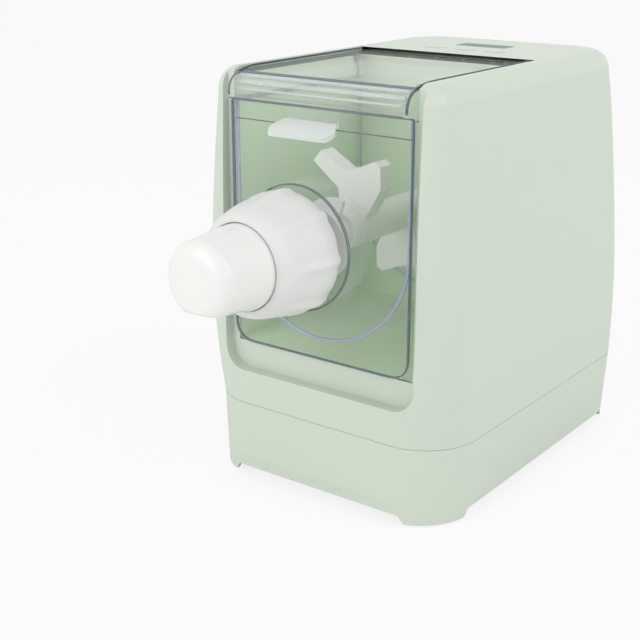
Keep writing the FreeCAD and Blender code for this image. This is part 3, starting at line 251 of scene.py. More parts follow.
SAGE = Finish("sage_shell", tone(207, 218, 203), 0.36, drift=0.015, grain=0.08, coat=0.1)
# Lighter than the shell's own green: the lift paints light into the deep, shaded bay behind the
# clear tank.
BAY = Finish("bay_green", tone(222, 241, 212), 0.42, drift=0.03, grain=0.1)
CLEAR = Finish("clear_shell", tone(222, 236, 228), 0.06, 0.03, 0.01, grain=0.0,
               alpha=0.04, rim_alpha=0.4, kind=Kind.CLEAR)
LID_CLEAR = Finish("lid_clear", tone(236, 240, 240), 0.08, 0.04, 0.01, grain=0.0,
                   alpha=0.06, rim_alpha=0.26, kind=Kind.CLEAR)
# Painted shade: dark lines laid on the clear tank's and lid's edges stand for the dark edges that
# light makes in thick clear plastic, and for the shaded gap beside the lid.
SHADE_LINE = Finish("painted_shade_line", tone(92, 106, 120), 0.18, drift=0.05, grain=0.0, alpha=0.8)
# Painted highlight: pale lines laid across the lid's rolled front stand for the streaks of light on
# it.
PALE_HIGHLIGHT = Finish("painted_highlight", tone(232, 239, 235), 0.12, drift=0.03, grain=0.0, alpha=0.5)
# Painted highlight: pale-blue lines on the bowl's edges and rims stand for the light caught in its
# thick clear edges.
BLUE_HIGHLIGHT = Finish("painted_blue_highlight", tone(182, 192, 226), 0.12, drift=0.03, grain=0.0, alpha=0.7)
# Painted shade: dark lines over the lid's side edges stand for the shaded gap between the lid and
# the deck.
GAP_SHADE = Finish("painted_gap_shade", tone(58, 72, 74), 0.25, drift=0.05, grain=0.0, alpha=0.9)
FROST = Finish("frosted_tab", tone(240, 244, 242), 0.3, drift=0.01, grain=0.08,
               alpha=0.36, rim_alpha=0.85, kind=Kind.CLEAR)
WHITE = Finish("white_moulding", tone(238, 238, 235), 0.3, drift=0.015, grain=0.06, coat=0.15)
NUT = Finish("collar_moulding", tone(228, 228, 226), 0.5, drift=0.015, grain=0.15,
             grain_scale=1900.0)
DIE = Finish("die_white", tone(232, 232, 228), 0.32, drift=0.02, grain=0.05)
DISPLAY = Finish("display_grey", tone(128, 137, 130), 0.5, drift=0.03, grain=0.04)
RUBBER = Finish("foot_rubber", tone(46, 46, 46), 0.85, drift=0.1, grain=0.4, grain_scale=900.0)
SEAL = Finish("seal_rubber", tone(210, 210, 206), 0.7, drift=0.05, grain=0.3)
STEEL = Finish("ground_steel", tone(188, 188, 190), 0.28, 0.12, 0.06, kind=Kind.METAL)
ZINC = Finish("zinc_plate", tone(176, 178, 176), 0.4, 0.15, 0.1, kind=Kind.METAL)
BRASS = Finish("pin_brass", tone(214, 184, 110), 0.3, 0.1, 0.05, kind=Kind.METAL)
NYLON = Finish("gear_nylon", tone(226, 222, 206), 0.5, drift=0.04, grain=0.2)
CASE = Finish("case_grey", tone(82, 84, 86), 0.55, drift=0.05, grain=0.3)
BOARD = Finish("board_green", tone(32, 96, 58), 0.45, drift=0.12, drift_scale=60.0, grain=0.1)
BLACK = Finish("black_moulding", tone(30, 30, 31), 0.5, drift=0.05, grain=0.25)

NODE_FINISHES: dict[str, Finish] = {
    "upper_housing": SAGE, "left_flank": SAGE, "right_flank": SAGE, "front_skirt": SAGE,
    "base_housing": SAGE, "bay_liner": BAY, "bottom_plate": BAY, "tank_front": CLEAR,
    "tank_back": CLEAR, "base_screws": ZINC, "rubber_feet": RUBBER, "display_window": DISPLAY,
    "key_board": BOARD, "display_module": BLACK, "key_switches": BLACK, "key_left": SAGE,
    "key_middle": SAGE, "key_right": SAGE, "power_board": BOARD, "board_parts": BLACK,
    "power_inlet": BLACK,
    "inlet_pins": BRASS, "mixing_tank": CLEAR, "lid_hinge_pins": CLEAR, "tank_lid": LID_CLEAR,
    "lid_tab": FROST, "mixing_paddle": WHITE, "auger_screw": WHITE, "collar_nut": NUT,
    "outlet_head": WHITE, "die_plate": DIE, "head_seal": SEAL, "gearbox_front": CASE,
    "gearbox_rear": CASE, "intermediate_axle": STEEL, "shaft_bearings": STEEL, "shaft_seal": SEAL,
    "drive_shaft": STEEL, "compound_gear": NYLON, "output_gear": NYLON, "motor_pinion": STEEL,
    "motor_can": ZINC, "rotor_shaft": STEEL, "cooling_fan": BLACK, "gearbox_screws": ZINC,
}


def dress(piece: bpy.types.Object, finish: Finish) -> None:
    """Give a piece one finish all over.

    Args:
        piece: The mesh object.
        finish: Its finish.
    """
    piece.data.materials.clear()
    piece.data.materials.append(finish.material())
    piece.data.polygons.foreach_set("material_index", [0] * len(piece.data.polygons))


def new_piece(name: str, vertices: np.ndarray, faces: list | np.ndarray) -> bpy.types.Object:
    """Make a mesh object at the origin from arrays.

    Args:
        name: The piece's name.
        vertices: An array of points, one row each.
        faces: Lists of vertex numbers, turned so that the normals point outwards.

    Returns:
        The linked object, shaded smooth.
    """
    mesh = bpy.data.meshes.new(name)
    mesh.from_pydata(vertices.tolist(), [], [list(face) for face in faces])
    mesh.update()
    mesh.polygons.foreach_set("use_smooth", [True] * len(mesh.polygons))
    piece = bpy.data.objects.new(name, mesh)
    bpy.context.scene.collection.objects.link(piece)
    return piece


def soften(piece: bpy.types.Object, width: float, angle: float = 35.0, segments: int = 2) -> None:
    """Round a piece's sharp edges a little, so that they catch the light.

    Args:
        piece: The mesh object.
        width: The rounding's width in metres.
        angle: Edges that turn by more than this many degrees are rounded.
        segments: The number of faces across the rounding.
    """
    bevel = piece.modifiers.new("edge_rounding", "BEVEL")
    bevel.width = width
    bevel.segments = segments
    bevel.limit_method = "ANGLE"
    bevel.angle_limit = math.radians(angle)
    bevel.harden_normals = True
    bevel.use_clamp_overlap = True


def ring_faces(rings: int, around: int, closed: bool = True) -> np.ndarray:
    """Number the quads of a grid of rings, one ring after another.

    Args:
        rings: How many rings there are.
        around: How many points each has.
        closed: Whether each ring closes on itself.

    Returns:
        One row of four vertex numbers for each quad.
    """
    columns = np.arange(around if closed else around - 1)
    low, across = np.meshgrid(np.arange(rings - 1), columns, indexing="ij")
    start = (low * around + across).ravel()
    beside = (low * around + (across + 1) % around).ravel()
    return np.column_stack([start, beside, beside + around, start + around])


def tube(points: np.ndarray, radius: float, closed: bool = False, sides: int = 8) -> Shape:
    """Sweep a small circle along a line of points.

    Args:
        points: The line, one row for each point.
        radius: The circle's radius.
        closed: Whether the line closes on itself.
        sides: The number of points round the circle.

    Returns:
        The vertices and the faces.
    """
    count = len(points)
    if closed:
        ahead = np.roll(points, -1, 0) - np.roll(points, 1, 0)
    else:
        ahead = np.gradient(points, axis=0)
    ahead /= np.linalg.norm(ahead, axis=1, keepdims=True)
    helper = np.where(np.abs(ahead[:, :1]) > 0.9, [[0.0, 1.0, 0.0]], [[1.0, 0.0, 0.0]])
    side = np.cross(ahead, helper)
    side /= np.linalg.norm(side, axis=1, keepdims=True)
    for step in range(1, count):
        kept = side[step - 1] - ahead[step] * (side[step - 1] @ ahead[step])
        side[step] = kept / np.linalg.norm(kept)
    other = np.cross(ahead, side)
    angle = np.linspace(0, 2 * np.pi, sides, endpoint=False)
    ring = radius * (np.cos(angle)[None, :, None] * side[:, None]
                     + np.sin(angle)[None, :, None] * other[:, None])
    vertices = (points[:, None] + ring).reshape(-1, 3)
    faces = ring_faces(count, sides)[:, ::-1].tolist()
    if closed:
        last = (count - 1) * sides
        faces += [[last + k, k, (k + 1) % sides, last + (k + 1) % sides] for k in range(sides)]
    else:
        faces += [list(range(sides)), list(range((count - 1) * sides, count * sides))[::-1]]
    return vertices, faces


def rod(start: Point, end: Point, radius: float, count: int = 12, sides: int = LINE_SIDES) -> Shape:
    """Make a thin straight tube.

    Args:
        start: Its first point.
        end: Its last point.
        radius: Its radius.
        count: The number of rings along it.
        sides: The number of points round it.

    Returns:
        The vertices and the faces.
    """
    return tube(np.linspace(start, end, count), radius, sides=sides)


def joined(parts: list[Shape]) -> Shape:
    """Put several pairs of vertices and faces into one.

    Args:
        parts: The pairs.

    Returns:
        One pair.
    """
    vertices, faces, start = [], [], 0
    for points, quads in parts:
        vertices.append(points)
        faces += [[number + start for number in quad] for quad in quads]
        start += len(points)
    return np.vstack(vertices), faces


def prism(outline: np.ndarray, start: float, end: float, axis: int) -> Shape:
    """Stretch a closed outline along one axis, with a cap at each end.

    Args:
        outline: The two other coordinates of each corner, in axis order.
        start: The first level along the axis.
        end: The last level along the axis.
        axis: 0, 1 or 2 for X, Y or Z.

    Returns:
        The vertices and the faces, turned outwards for an outline that runs left round the axis.
    """
    count = len(outline)
    layers = [np.insert(outline, axis, level, axis=1) for level in (start, end)]
    faces = ring_faces(2, count).tolist()
    faces += [list(range(count))[::-1], list(range(count, 2 * count))]
    if axis == 1:
        faces = [face[::-1] for face in faces]
    return np.vstack(layers), faces


def bend_round(corners: list[tuple[float, float, float]], steps: int = 7) -> np.ndarray:
    """Round the corners of a closed outline.

    Args:
        corners: Each corner's two coordinates and its radius.
        steps: The number of points on each rounding.

    Returns:
        The points of the outline.
    """
    spots = np.array(corners)
    found = []
    for here, before, after in zip(spots, np.roll(spots, 1, 0), np.roll(spots, -1, 0)):
        back, ahead = before[:2] - here[:2], after[:2] - here[:2]
        back, ahead = back / np.linalg.norm(back), ahead / np.linalg.norm(ahead)
        half = math.acos(float(np.clip(back @ ahead, -1, 1))) / 2
        reach = here[2] / math.tan(half) if here[2] else 0.0
        for share in np.linspace(0, 1, steps if here[2] else 1):
            first, last = here[:2] + back * reach * (1 - share), here[:2] + ahead * reach * share
            found.append(first * (1 - share) + last * share if here[2] else here[:2])
    return np.array(found)


def turned_back(corners: np.ndarray) -> np.ndarray:
    """Tell which triangles face the rear, so that a clear wall can be one sheet.

    Args:
        corners: The corners of all triangles.

    Returns:
        One truth value for each triangle.
    """
    least_share = 0.95
    across = np.cross(corners[:, 1] - corners[:, 0], corners[:, 2] - corners[:, 0])
    return across[:, 1] > least_share * np.linalg.norm(across, axis=1)


def circle_line(radius: float, level: float, centre: float, start: float = 0.0,
                end: float = 360.0, count: int = 96) -> np.ndarray:
    """Return points on a circle or an arc across the Y axis.

    Args:
        radius: Its radius.
        level: Its place along Y.
        centre: The height of its centre.
        start: The first angle in degrees, from +X towards +Z.
        end: The last angle; a whole circle leaves out its last point.
        count: The number of points.

    Returns:
        The points, one row each.
    """
    angle = np.radians(np.linspace(start, end, count, endpoint=end - start < 360.0))
    across, up = radius * np.cos(angle), centre + radius * np.sin(angle)
    return np.column_stack([across, np.full(count, level), up])


def attach(piece: bpy.types.Object, finish: Finish, body: str, slot: str,
           *nodes: str) -> bpy.types.Object:
    """Give a new piece its finish and its CAD body, and hide the CAD nodes that it stands for.

    Args:
        piece: The new piece.
        finish: Its finish.
        body: The body that it rides on.
        slot: Not used.
        nodes: The CAD nodes that it stands for.

    Returns:
        The same piece.
    """
    dress(piece, finish)
    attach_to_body(piece, body)
    if nodes:
        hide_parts(*nodes)
    return piece


def refined(nodes: tuple[str, ...], name: str, finish: Finish, body: str, slot: str,
            width: float = 0.0003, angle: float = 35.0, segments: int = 2,
            hidden: Callable[[np.ndarray], np.ndarray] | None = None) -> bpy.types.Object:
    """Carry CAD solids over as one smooth-shaded piece with rounded edges.

    Args:
        nodes: The CAD nodes that it stands for.
        name: The new piece's name.
        finish: Its finish.
        body: The body that it rides on.
        slot: Not used; passed on to attach, which ignores it.
        width: The width of its edge rounding, or 0 for none.
        angle: Edges that turn by more than this many degrees are sharp and get the rounding.
        segments: The number of faces across the rounding.
        hidden: Tells from the corners of all triangles which of them lie inside and are left out.

    Returns:
        The new piece.
    """
    clouds, triangles, start = [], [], 0
    for node in nodes:
        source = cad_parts[node].data
        points = np.empty(len(source.vertices) * 3, np.float32)
        source.vertices.foreach_get("co", points)
        corners = np.empty(len(source.loops), np.int32)
        source.loops.foreach_get("vertex_index", corners)
        clouds.append(points.reshape(-1, 3))
        triangles.append(corners.reshape(-1, 3) + start)
        start += len(source.vertices)
    merged, index = np.unique(np.round(np.vstack(clouds), 6), axis=0, return_inverse=True)
    faces = index.reshape(-1)[np.vstack(triangles)]
    whole = (faces != np.roll(faces, 1, 1)).all(1)
    if hidden:
        whole &= ~hidden(merged[faces])
    piece = new_piece(name, merged, faces[whole])
    piece.data.set_sharp_from_angle(angle=math.radians(angle))
    if width:
        soften(piece, width, angle, segments)
    return attach(piece, finish, body, slot, *nodes)


@dataclass
class Housing:
    """The sage shell: the housing, its base, the bay and the window on top."""

    edge: float = 0.0009
    edge_angle: float = 32.0
    edge_segments: int = 3
    bay_half: float = 0.0712
    bay_rear: float = 0.0722
    bay_floor: float = 0.0988
    body: str = "machine"

    def inside(self, corners: np.ndarray) -> np.ndarray:
        """Tell which triangles lie where two shares of the housing meet.

        Args:
            corners: The corners of all triangles.

        Returns:
            One truth value for each triangle.
        """
        across, along, up = np.abs(corners[..., 0]), corners[..., 1], corners[..., 2]
        slack = 2e-6
        at_side = (np.abs(across - self.bay_half) < slack).all(1)
        at_rear = (np.abs(along - self.bay_rear) < slack).all(1)
        below = (up < self.bay_floor + slack).all(1)
        outside = (across > self.bay_half - slack).all(1)
        return at_side & below | at_rear & outside

    def build(self) -> list[bpy.types.Object]:
        """Build the housing's visible pieces."""
        shares = ("upper_housing", "left_flank", "right_flank", "front_skirt")
        rounding = (self.edge, self.edge_angle, self.edge_segments)
        return [
            refined(shares, "upper_shell", SAGE, self.body, "housing", *rounding, self.inside),
            refined(("base_housing",), "base_shell", SAGE, self.body, "housing", *rounding),
            refined(("bay_liner",), "bay_channel", BAY, self.body, "liner", 0.0005),
            refined(("display_window",), "display_glass", DISPLAY, self.body, "display"),
        ]


@dataclass
class Tank:
    """The clear mixing tank, with dark lines of painted shade and pale lines of painted highlight
    where its thick edges catch the light.
    """

    half: float = 0.0708
    low: float = 0.1
    high: float = 0.2664
    front: float = -0.077
    plate: float = 0.003
    corner: float = 0.0145
    top_corner: float = 0.002
    axis: float = 0.1815
    trough: float = 0.069
    skin_inset: float = 0.0008
    back: float = 0.069
    rear_wall: float = 0.003
    rim_width: float = 0.0045
    rim_height: float = 0.0024
    ring: float = 0.041
    ring_front: float = -0.1
    cross_height: float = 0.2532
    body: str = "tank"

    def edge_lines(self) -> bpy.types.Object:
        """Lay thin dark lines of painted shade along the edges of the front plate and its ring, and
        across it.
        """
        inset, upright_inset, ring_inset, end_gap = 0.0008, 0.0011, 0.0006, 0.003
        left, right = -self.half + inset, self.half - inset
        low, high = self.low + inset, self.high - inset
        outline = bend_round([(left, low, self.corner), (right, low, self.corner),
                              (right, high, self.top_corner), (left, high, self.top_corner)])
        plate_back = self.front + self.plate
        lines = []
        for level, size in ((self.front + inset, 0.00055), (plate_back - inset, 0.00045)):
            lines.append(tube(np.insert(outline, 1, level, axis=1), size, True, LINE_SIDES))
        middle = self.front + self.plate / 2
        # The left upright line is thicker than the right, so the painted shade falls heavier on the
        # left edge.
        for side, size in ((-1, 0.001), (1, 0.0008)):
            across = side * (self.half - upright_inset)
            lines.append(rod((across, middle, self.low + self.corner),
                             (across, middle, self.high - end_gap), size, 24))
        for gap, size in ((0.0006, 0.0005), (0.0024, 0.0004)):
            circle = circle_line(self.ring - ring_inset, self.ring_front + gap, self.axis)
            lines.append(tube(circle, size, True, LINE_SIDES))
        reach = self.half - end_gap
        lines.append(rod((-reach, plate_back, self.cross_height),
                         (reach, plate_back, self.cross_height), 0.0004, 24))
        piece = new_piece("tank_edge_lines", *joined(lines))
        return attach(piece, SHADE_LINE, self.body, "clear")

    def bowl_highlights(self) -> bpy.types.Object:
        """Lay thin pale-blue lines of painted highlight along the bowl's front and rear edges and
        its rims.
        """
        front_edge, rear_edge = self.front + self.plate + 0.0008, self.back - 0.0032
        top, lines = self.high - 0.003, []
        for inset, level, size in ((0.0014, front_edge, 0.0011), (0.003, rear_edge, 0.0006)):
            radius = self.trough - inset
            arc = circle_line(radius, level, self.axis, 180, 360)
            path = np.vstack([[-radius, level, top], arc, [radius, level, top]])
            lines.append(tube(path, size, sides=LINE_SIDES))
        rim_inset, rim_depth, front_gap, rear_gap = 0.0007, 0.0022, 0.004, 0.001
        for side in (-1, 1):
            across, height = side * (self.half - rim_inset), self.high - rim_depth
            lines.append(rod((across, self.front + front_gap, height),
                             (across, self.back - rear_gap, height), 0.0005))
        piece = new_piece("tank_bowl_highlights", *joined(lines))
        return attach(piece, BLUE_HIGHLIGHT, self.body, "clear")

    def bowl(self) -> bpy.types.Object:
        """Build the bowl and its rims: one clear sheet from the front plate to the rear wall."""
        radius = self.trough - self.skin_inset
        arc = np.radians(np.linspace(180, 360, 73))
        wall = np.linspace(self.high - self.rim_height, self.axis, 14)[:-1]
        across = np.full(len(wall), radius)
        outline = np.vstack([
            np.column_stack([-across, wall]),
            np.column_stack([radius * np.cos(arc), self.axis + radius * np.sin(arc)]),
            np.column_stack([across, wall[::-1]]),
        ])
        start = self.front + self.plate
        places = np.linspace(start, self.back - self.rear_wall, 12)
        points = np.vstack([np.insert(outline, 1, place, axis=1) for place in places])
        shapes = [(points, ring_faces(len(places), len(outline), False).tolist())]
        corner = 0.001
        for side in (-1, 1):
            low, high = sorted((side * self.half, side * (self.half - self.rim_width)))
            edge = bend_round([(low, start, 0.0), (high, start, 0.0),
                               (high, self.back, corner), (low, self.back, corner)], 3)
            shapes.append(prism(edge, self.high - self.rim_height, self.high, 2))
        piece = new_piece("tank_bowl", *joined(shapes))
        piece.data.set_sharp_from_angle(angle=math.radians(40))
        return attach(piece, CLEAR, self.body, "clear", "mixing_tank")

    def build(self) -> list[bpy.types.Object]:
        """Build the tank's pieces."""
        return [
            refined(("tank_front",), "tank_plate", CLEAR, self.body, "clear", 0.0005,
                    hidden=turned_back),
            self.bowl(),
            refined(("tank_back",), "tank_wall", CLEAR, self.body, "clear", 0.0,
                    hidden=turned_back),
            self.edge_lines(),
            self.bowl_highlights(),
        ]


@dataclass
class Lid:
    """The clear lid with its rolled front, and the finger tab under its lip."""

    half: float = 0.0689
    low: float = 0.2668
    high: float = 0.2833
    rear: float = 0.0694
    wall: float = 0.0025
    roll: float = 0.0125
    step: float = 0.0016
    heel: float = 0.0035
    lip: float = -0.0832
    lip_half: float = 0.0708
    lip_corner: float = 0.004
    lip_depth: float = 0.0052
    lip_height: float = 0.003
    rib_width: float = 0.0016
    rib_height: float = 0.002
    rear_gap: float = 0.001
    knee: float = 0.2568
    body: str = "lid"

    def section(self, inset: float) -> np.ndarray:
        """Return the lid's section from its rear edge over the top and down the rolled front.

        Args:
            inset: How far inside the outer surface the line runs.

        Returns:
            The points as (along, up).
        """
        foot = 0.002
        front = self.lip + self.step
        radius = self.roll - inset
        angle = np.radians(np.linspace(90, 172, 14))
        bow = np.column_stack([front + self.roll + radius * np.cos(angle),
                               self.high - self.roll + radius * np.sin(angle)])
        start = [[self.rear - inset, self.high - inset]]
        return np.vstack([start, bow, [[front + inset, self.low + foot]]])

    def shell(self) -> bpy.types.Object:
        """Build the lid's top, sides, rear and lip."""
        side_gap, front_gap, rear_cut = 0.0003, 0.0022, 0.003
        outer, inner = self.section(0.0), self.section(self.wall)
        skin = np.vstack([outer, inner[::-1]])
        parts = [prism(skin, -self.half + side_gap, self.half - side_gap, 0)]
        heel, top = self.low + self.heel, self.high - self.wall
        below = np.vstack([outer, [[self.lip + front_gap, self.low],
                                   [self.rear - rear_cut, self.low], [self.rear, heel]]])
        for across in (-self.half, self.half):
            parts.append((np.insert(below, 0, across, axis=1), [list(range(len(below)))]))
        back = np.array([(-self.half, self.rear, heel), (self.half, self.rear, heel),
                         (self.half, self.rear, top), (-self.half, self.rear, top)])
        parts.append((back, [[0, 1, 2, 3]]))
        lip_rear = self.lip + self.lip_depth
        edge = bend_round([(-self.lip_half, self.lip, self.lip_corner),
                           (self.lip_half, self.lip, self.lip_corner),
                           (self.lip_half, lip_rear, 0.0), (-self.lip_half, lip_rear, 0.0)])
        parts.append(prism(edge, self.low, self.low + self.lip_height, 2))
        piece = new_piece("lid_shell", *joined(parts))
        piece.data.set_sharp_from_angle(angle=math.radians(30))
        soften(piece, 0.0004, 40.0)
        return attach(piece, LID_CLEAR, self.body, "clear", "tank_lid")

    def edge_lines(self) -> bpy.types.Object:
        """Lay thin dark lines of painted shade where the top meets the roll, down the roll's ends
        and on the lip.
        """
        inset = 0.0007
        left, right, top = -self.half + inset, self.half - inset, self.high - inset
        start = self.lip + self.step + self.roll
        lines = [rod((left, start, top), (right, start, top), 0.0009, 24, 8)]
        outer = self.section(inset)[1:]
        # The right line is thicker: it paints the shade of the dark gap beside the lid's right
        # edge.
        for across, size in ((left, 0.0006), (right, 0.0009)):
            lines.append(tube(np.insert(outer, 0, across, axis=1), size, sides=LINE_SIDES))
        reach = self.lip_half - self.lip_corner
        lines.append(rod((-reach, self.lip + inset, self.low + inset),
                         (reach, self.lip + inset, self.low + inset), 0.0005))
        piece = new_piece("lid_edge_lines", *joined(lines))
        return attach(piece, SHADE_LINE, self.body, "clear")

    def side_shade_lines(self) -> bpy.types.Object:
        """Lay dark lines of painted shade over the two side edges of the lid's top, for the shaded
        gap between the lid and the deck.
        """
        inset, height, dips = 0.0008, self.high + 0.0021, (0.0024, 0.0013, 0.0005, 0.0001)
        lines = []
        for side in (-1, 1):
            across = side * (self.half - inset)
            path = np.linspace((across, self.lip + self.roll, height),
                               (across, self.rear - self.rear_gap, height), 30)
            path[:len(dips), 2] -= dips
            lines.append(tube(path, 0.00075))
        piece = new_piece("lid_side_shade_lines", *joined(lines))
        return attach(piece, GAP_SHADE, self.body, "clear")

    def side_ribs(self) -> bpy.types.Object:
        """Raise a low clear rib under each painted shade line."""
        root, top = self.high - 0.0004, self.high + self.rib_height
        start, end = self.lip + self.roll + 0.0008, self.rear - self.rear_gap
        ribs = []
        for side in (-1, 1):
            low, high = sorted((side * self.half, side * (self.half - self.rib_width)))
            profile = np.array([(low, root), (high, root), (high, top), (low, top)])
            ribs.append(prism(profile, start, end, 1))
        piece = new_piece("lid_side_ribs", *joined(ribs))
        return attach(piece, LID_CLEAR, self.body, "clear")

    def highlight_bands(self) -> bpy.types.Object:
        """Lay the pale lines of painted highlight that run across the rolled front."""
        section, reach = self.section(0.0018), self.half - 0.004
        lines = []
        for spot, size in ((4, 0.0014), (9, 0.0017), (13, 0.001)):
            along, up = section[spot]
            lines.append(rod((-reach, along, up), (reach, along, up), size))
        piece = new_piece("lid_highlight_bands", *joined(lines))
        return attach(piece, PALE_HIGHLIGHT, self.body, "clear")

    def tab(self) -> bpy.types.Object:
        """Take over the finger tab: a frosted tongue under a clear root."""
        piece = refined(("lid_tab",), "finger_tab", FROST, self.body, "frosted", 0.0007, 20.0, 3)
        piece.data.materials.append(LID_CLEAR.material())
        points = np.empty(len(piece.data.vertices) * 3, np.float32)
        piece.data.vertices.foreach_get("co", points)
        corners = np.empty(len(piece.data.loops), np.int32)
        piece.data.loops.foreach_get("vertex_index", corners)
        lowest = points.reshape(-1, 3)[corners.reshape(-1, 3), 2].min(1)
        piece.data.polygons.foreach_set("material_index", (lowest > self.knee).astype(np.int32))
        return piece

    def build(self) -> list[bpy.types.Object]:
        """Build the lid and its tab."""
        return [
            self.shell(),
            self.edge_lines(),
            self.side_shade_lines(),
            self.side_ribs(),
            self.highlight_bands(),
            self.tab(),
        ]


@dataclass
class Mixer:
    """The paddle and the auger."""

    edge: float = 0.0034
    edge_angle: float = 24.0
    edge_segments: int = 4
    body: str = "mixer"

    def build(self) -> list[bpy.types.Object]:
        """Build the paddle and the auger."""
        return [
            refined(("mixing_paddle",), "paddle", WHITE, self.body, "white",
                    self.edge, self.edge_angle, self.edge_segments),
            refined(("auger_screw",), "auger", WHITE, self.body, "white"),
        ]


@dataclass
class Nose:
    """The collar, the outlet head and its die plate."""

    axis: float = 0.1815
    rear: float = -0.1043
    front: float = -0.153
    levels: tuple[float, ...] = (
        -0.1532, -0.1515, -0.1480, -0.1430, -0.1380, -0.1270, -0.1170, -0.1105, -0.1060)
    radii: tuple[float, ...] = (
        0.0292, 0.0314, 0.0331, 0.0347, 0.0361, 0.0388, 0.0406, 0.0404, 0.0393)
    face: float = 0.0286
    hole: float = 0.0271
    bore: float = 0.0334
    neck: float = -0.1404
    edge: float = 0.0006
    ridges: int = 8
    ridge_height: float = 0.0015
    ridge_width: float = 0.2
    ridge_start: float = 0.005
    ridge_fade: float = 0.02
    groove_depth: float = 0.22
    groove_place: float = 0.42
    head: float = 0.0267
    skin_places: tuple[float, ...] = (0.1873, 0.1912, 0.1933, 0.1942)
    skin_radii: tuple[float, ...] = (0.0243, 0.0223, 0.0193, 0.0)
    drop: float = 0.0186
    sole_start: float = -0.1542
    bend_start: float = -0.1863
    bend_depth: float = 0.00795
    bend_reach: float = 0.012
    flat: float = 0.0124
    mouth_half: float = 0.0148
    mouth_rear: float = -0.1557
    mouth_front: float = -0.1828

    def crest(self, level: np.ndarray) -> np.ndarray:
        """Return the collar's radius over its ridges.

        Args:
            level: The places along Y.

        Returns:
            The radius at each.
        """
        pad, lead, window = 12, 14, np.hanning(27)
        fine = np.linspace(self.levels[0], self.levels[-1], 240)
        plain = np.interp(fine, self.levels, self.radii)
        padded = np.concatenate([np.full(pad, plain[0]), plain, np.full(pad, plain[-1])])
        soft = np.convolve(padded, window / window.sum(), "same")[pad:-pad]
        soft[:lead] = plain[:lead] + (soft[:lead] - plain[:lead]) * np.linspace(0, 1, lead)
        return np.interp(level, fine, soft)

    def turned(self, levels: np.ndarray, radii: np.ndarray) -> np.ndarray:
        """Turn a profile about the nose's axis.

        Args:
            levels: Each ring's place along Y.
            radii: The radius of each point, one row for each ring.

        Returns:
            The points, by ring, by place round it and by axis.
        """
        turn = np.linspace(0, 2 * np.pi, radii.shape[1], endpoint=False)
        rings = np.empty((*radii.shape, 3))
        rings[..., 0] = radii * np.cos(turn)
        rings[..., 1] = levels[:, None]
        rings[..., 2] = self.axis + radii * np.sin(turn)
        return rings

    def swell(self, around: int) -> np.ndarray:
        """Return the ridges' form round the collar: 1 on a crest, a little under 0 beside it.

        Args:
            around: The number of points round it.

        Returns:
            One share of the ridge height for each point.
        """
        turn = np.linspace(0, 2 * np.pi, around, endpoint=False)
        half_step = np.pi / self.ridges
        off = np.abs((turn + half_step) % (2 * half_step) - half_step) / half_step
        groove = np.exp(-(((off - self.groove_place) / self.ridge_width) ** 2))
        return np.exp(-((off / self.ridge_width) ** 2)) - self.groove_depth * groove

    def collar(self) -> bpy.types.Object:
        """Turn the collar: a cone that widens to the rear, with low ridges along its rear part."""
        around, height, rear_round = 384, self.ridge_height, ((0.0, 0.0016), (0.0004, 0.0006))
        outer = np.linspace(self.rear - 0.0014, self.front + self.edge, 40)
        rear_edge = float(self.crest(outer[:1])[0]) - height
        levels = np.concatenate([
            [self.rear], [self.rear - along for along, _ in rear_round], outer,
            [self.front, self.front, self.front + self.edge, self.neck, self.neck]])
        radii = np.concatenate([
            [self.bore], [rear_edge - inward for _, inward in rear_round],
            self.crest(outer) - height,
            [self.face, self.hole + 0.0005, self.hole, self.hole, self.bore]])
        share = np.clip((levels - (self.front + self.ridge_start)) / self.ridge_fade, 0, 1)
        share = share * share * (3 - 2 * share)
        on_side = np.zeros(len(levels), bool)
        on_side[1:1 + len(rear_round) + len(outer)] = True
        radii[on_side] += height * (1 - share[on_side])
        ridged = radii[:, None] + height * self.swell(around) * (share * on_side)[:, None]
        faces = ring_faces(len(levels), around).tolist()
        last = (len(levels) - 1) * around
        faces += [[last + k, last + (k + 1) % around, (k + 1) % around, k] for k in range(around)]
        piece = new_piece("collar", self.turned(levels, ridged).reshape(-1, 3), faces)
        piece.data.set_sharp_from_angle(angle=math.radians(50))
        return attach(piece, NUT, "collar", "collar", "collar_nut")

    def on_skin(self, corners: np.ndarray) -> np.ndarray:
        """Tell which of the outlet head's triangles lie on the outside that the cap stands for.

        Args:
            corners: The corners of all triangles.

        Returns:
            One truth value for each triangle.
        """
        away = np.hypot(corners[..., 0], corners[..., 2] - self.axis)
        place, under, behind = corners[..., 1], 0.0002, 0.0004
        limit = np.interp(-place, (-self.front, *self.skin_places), (self.head, *self.skin_radii))
        return ((away > limit - under) & (place < self.front + behind)).all(1)

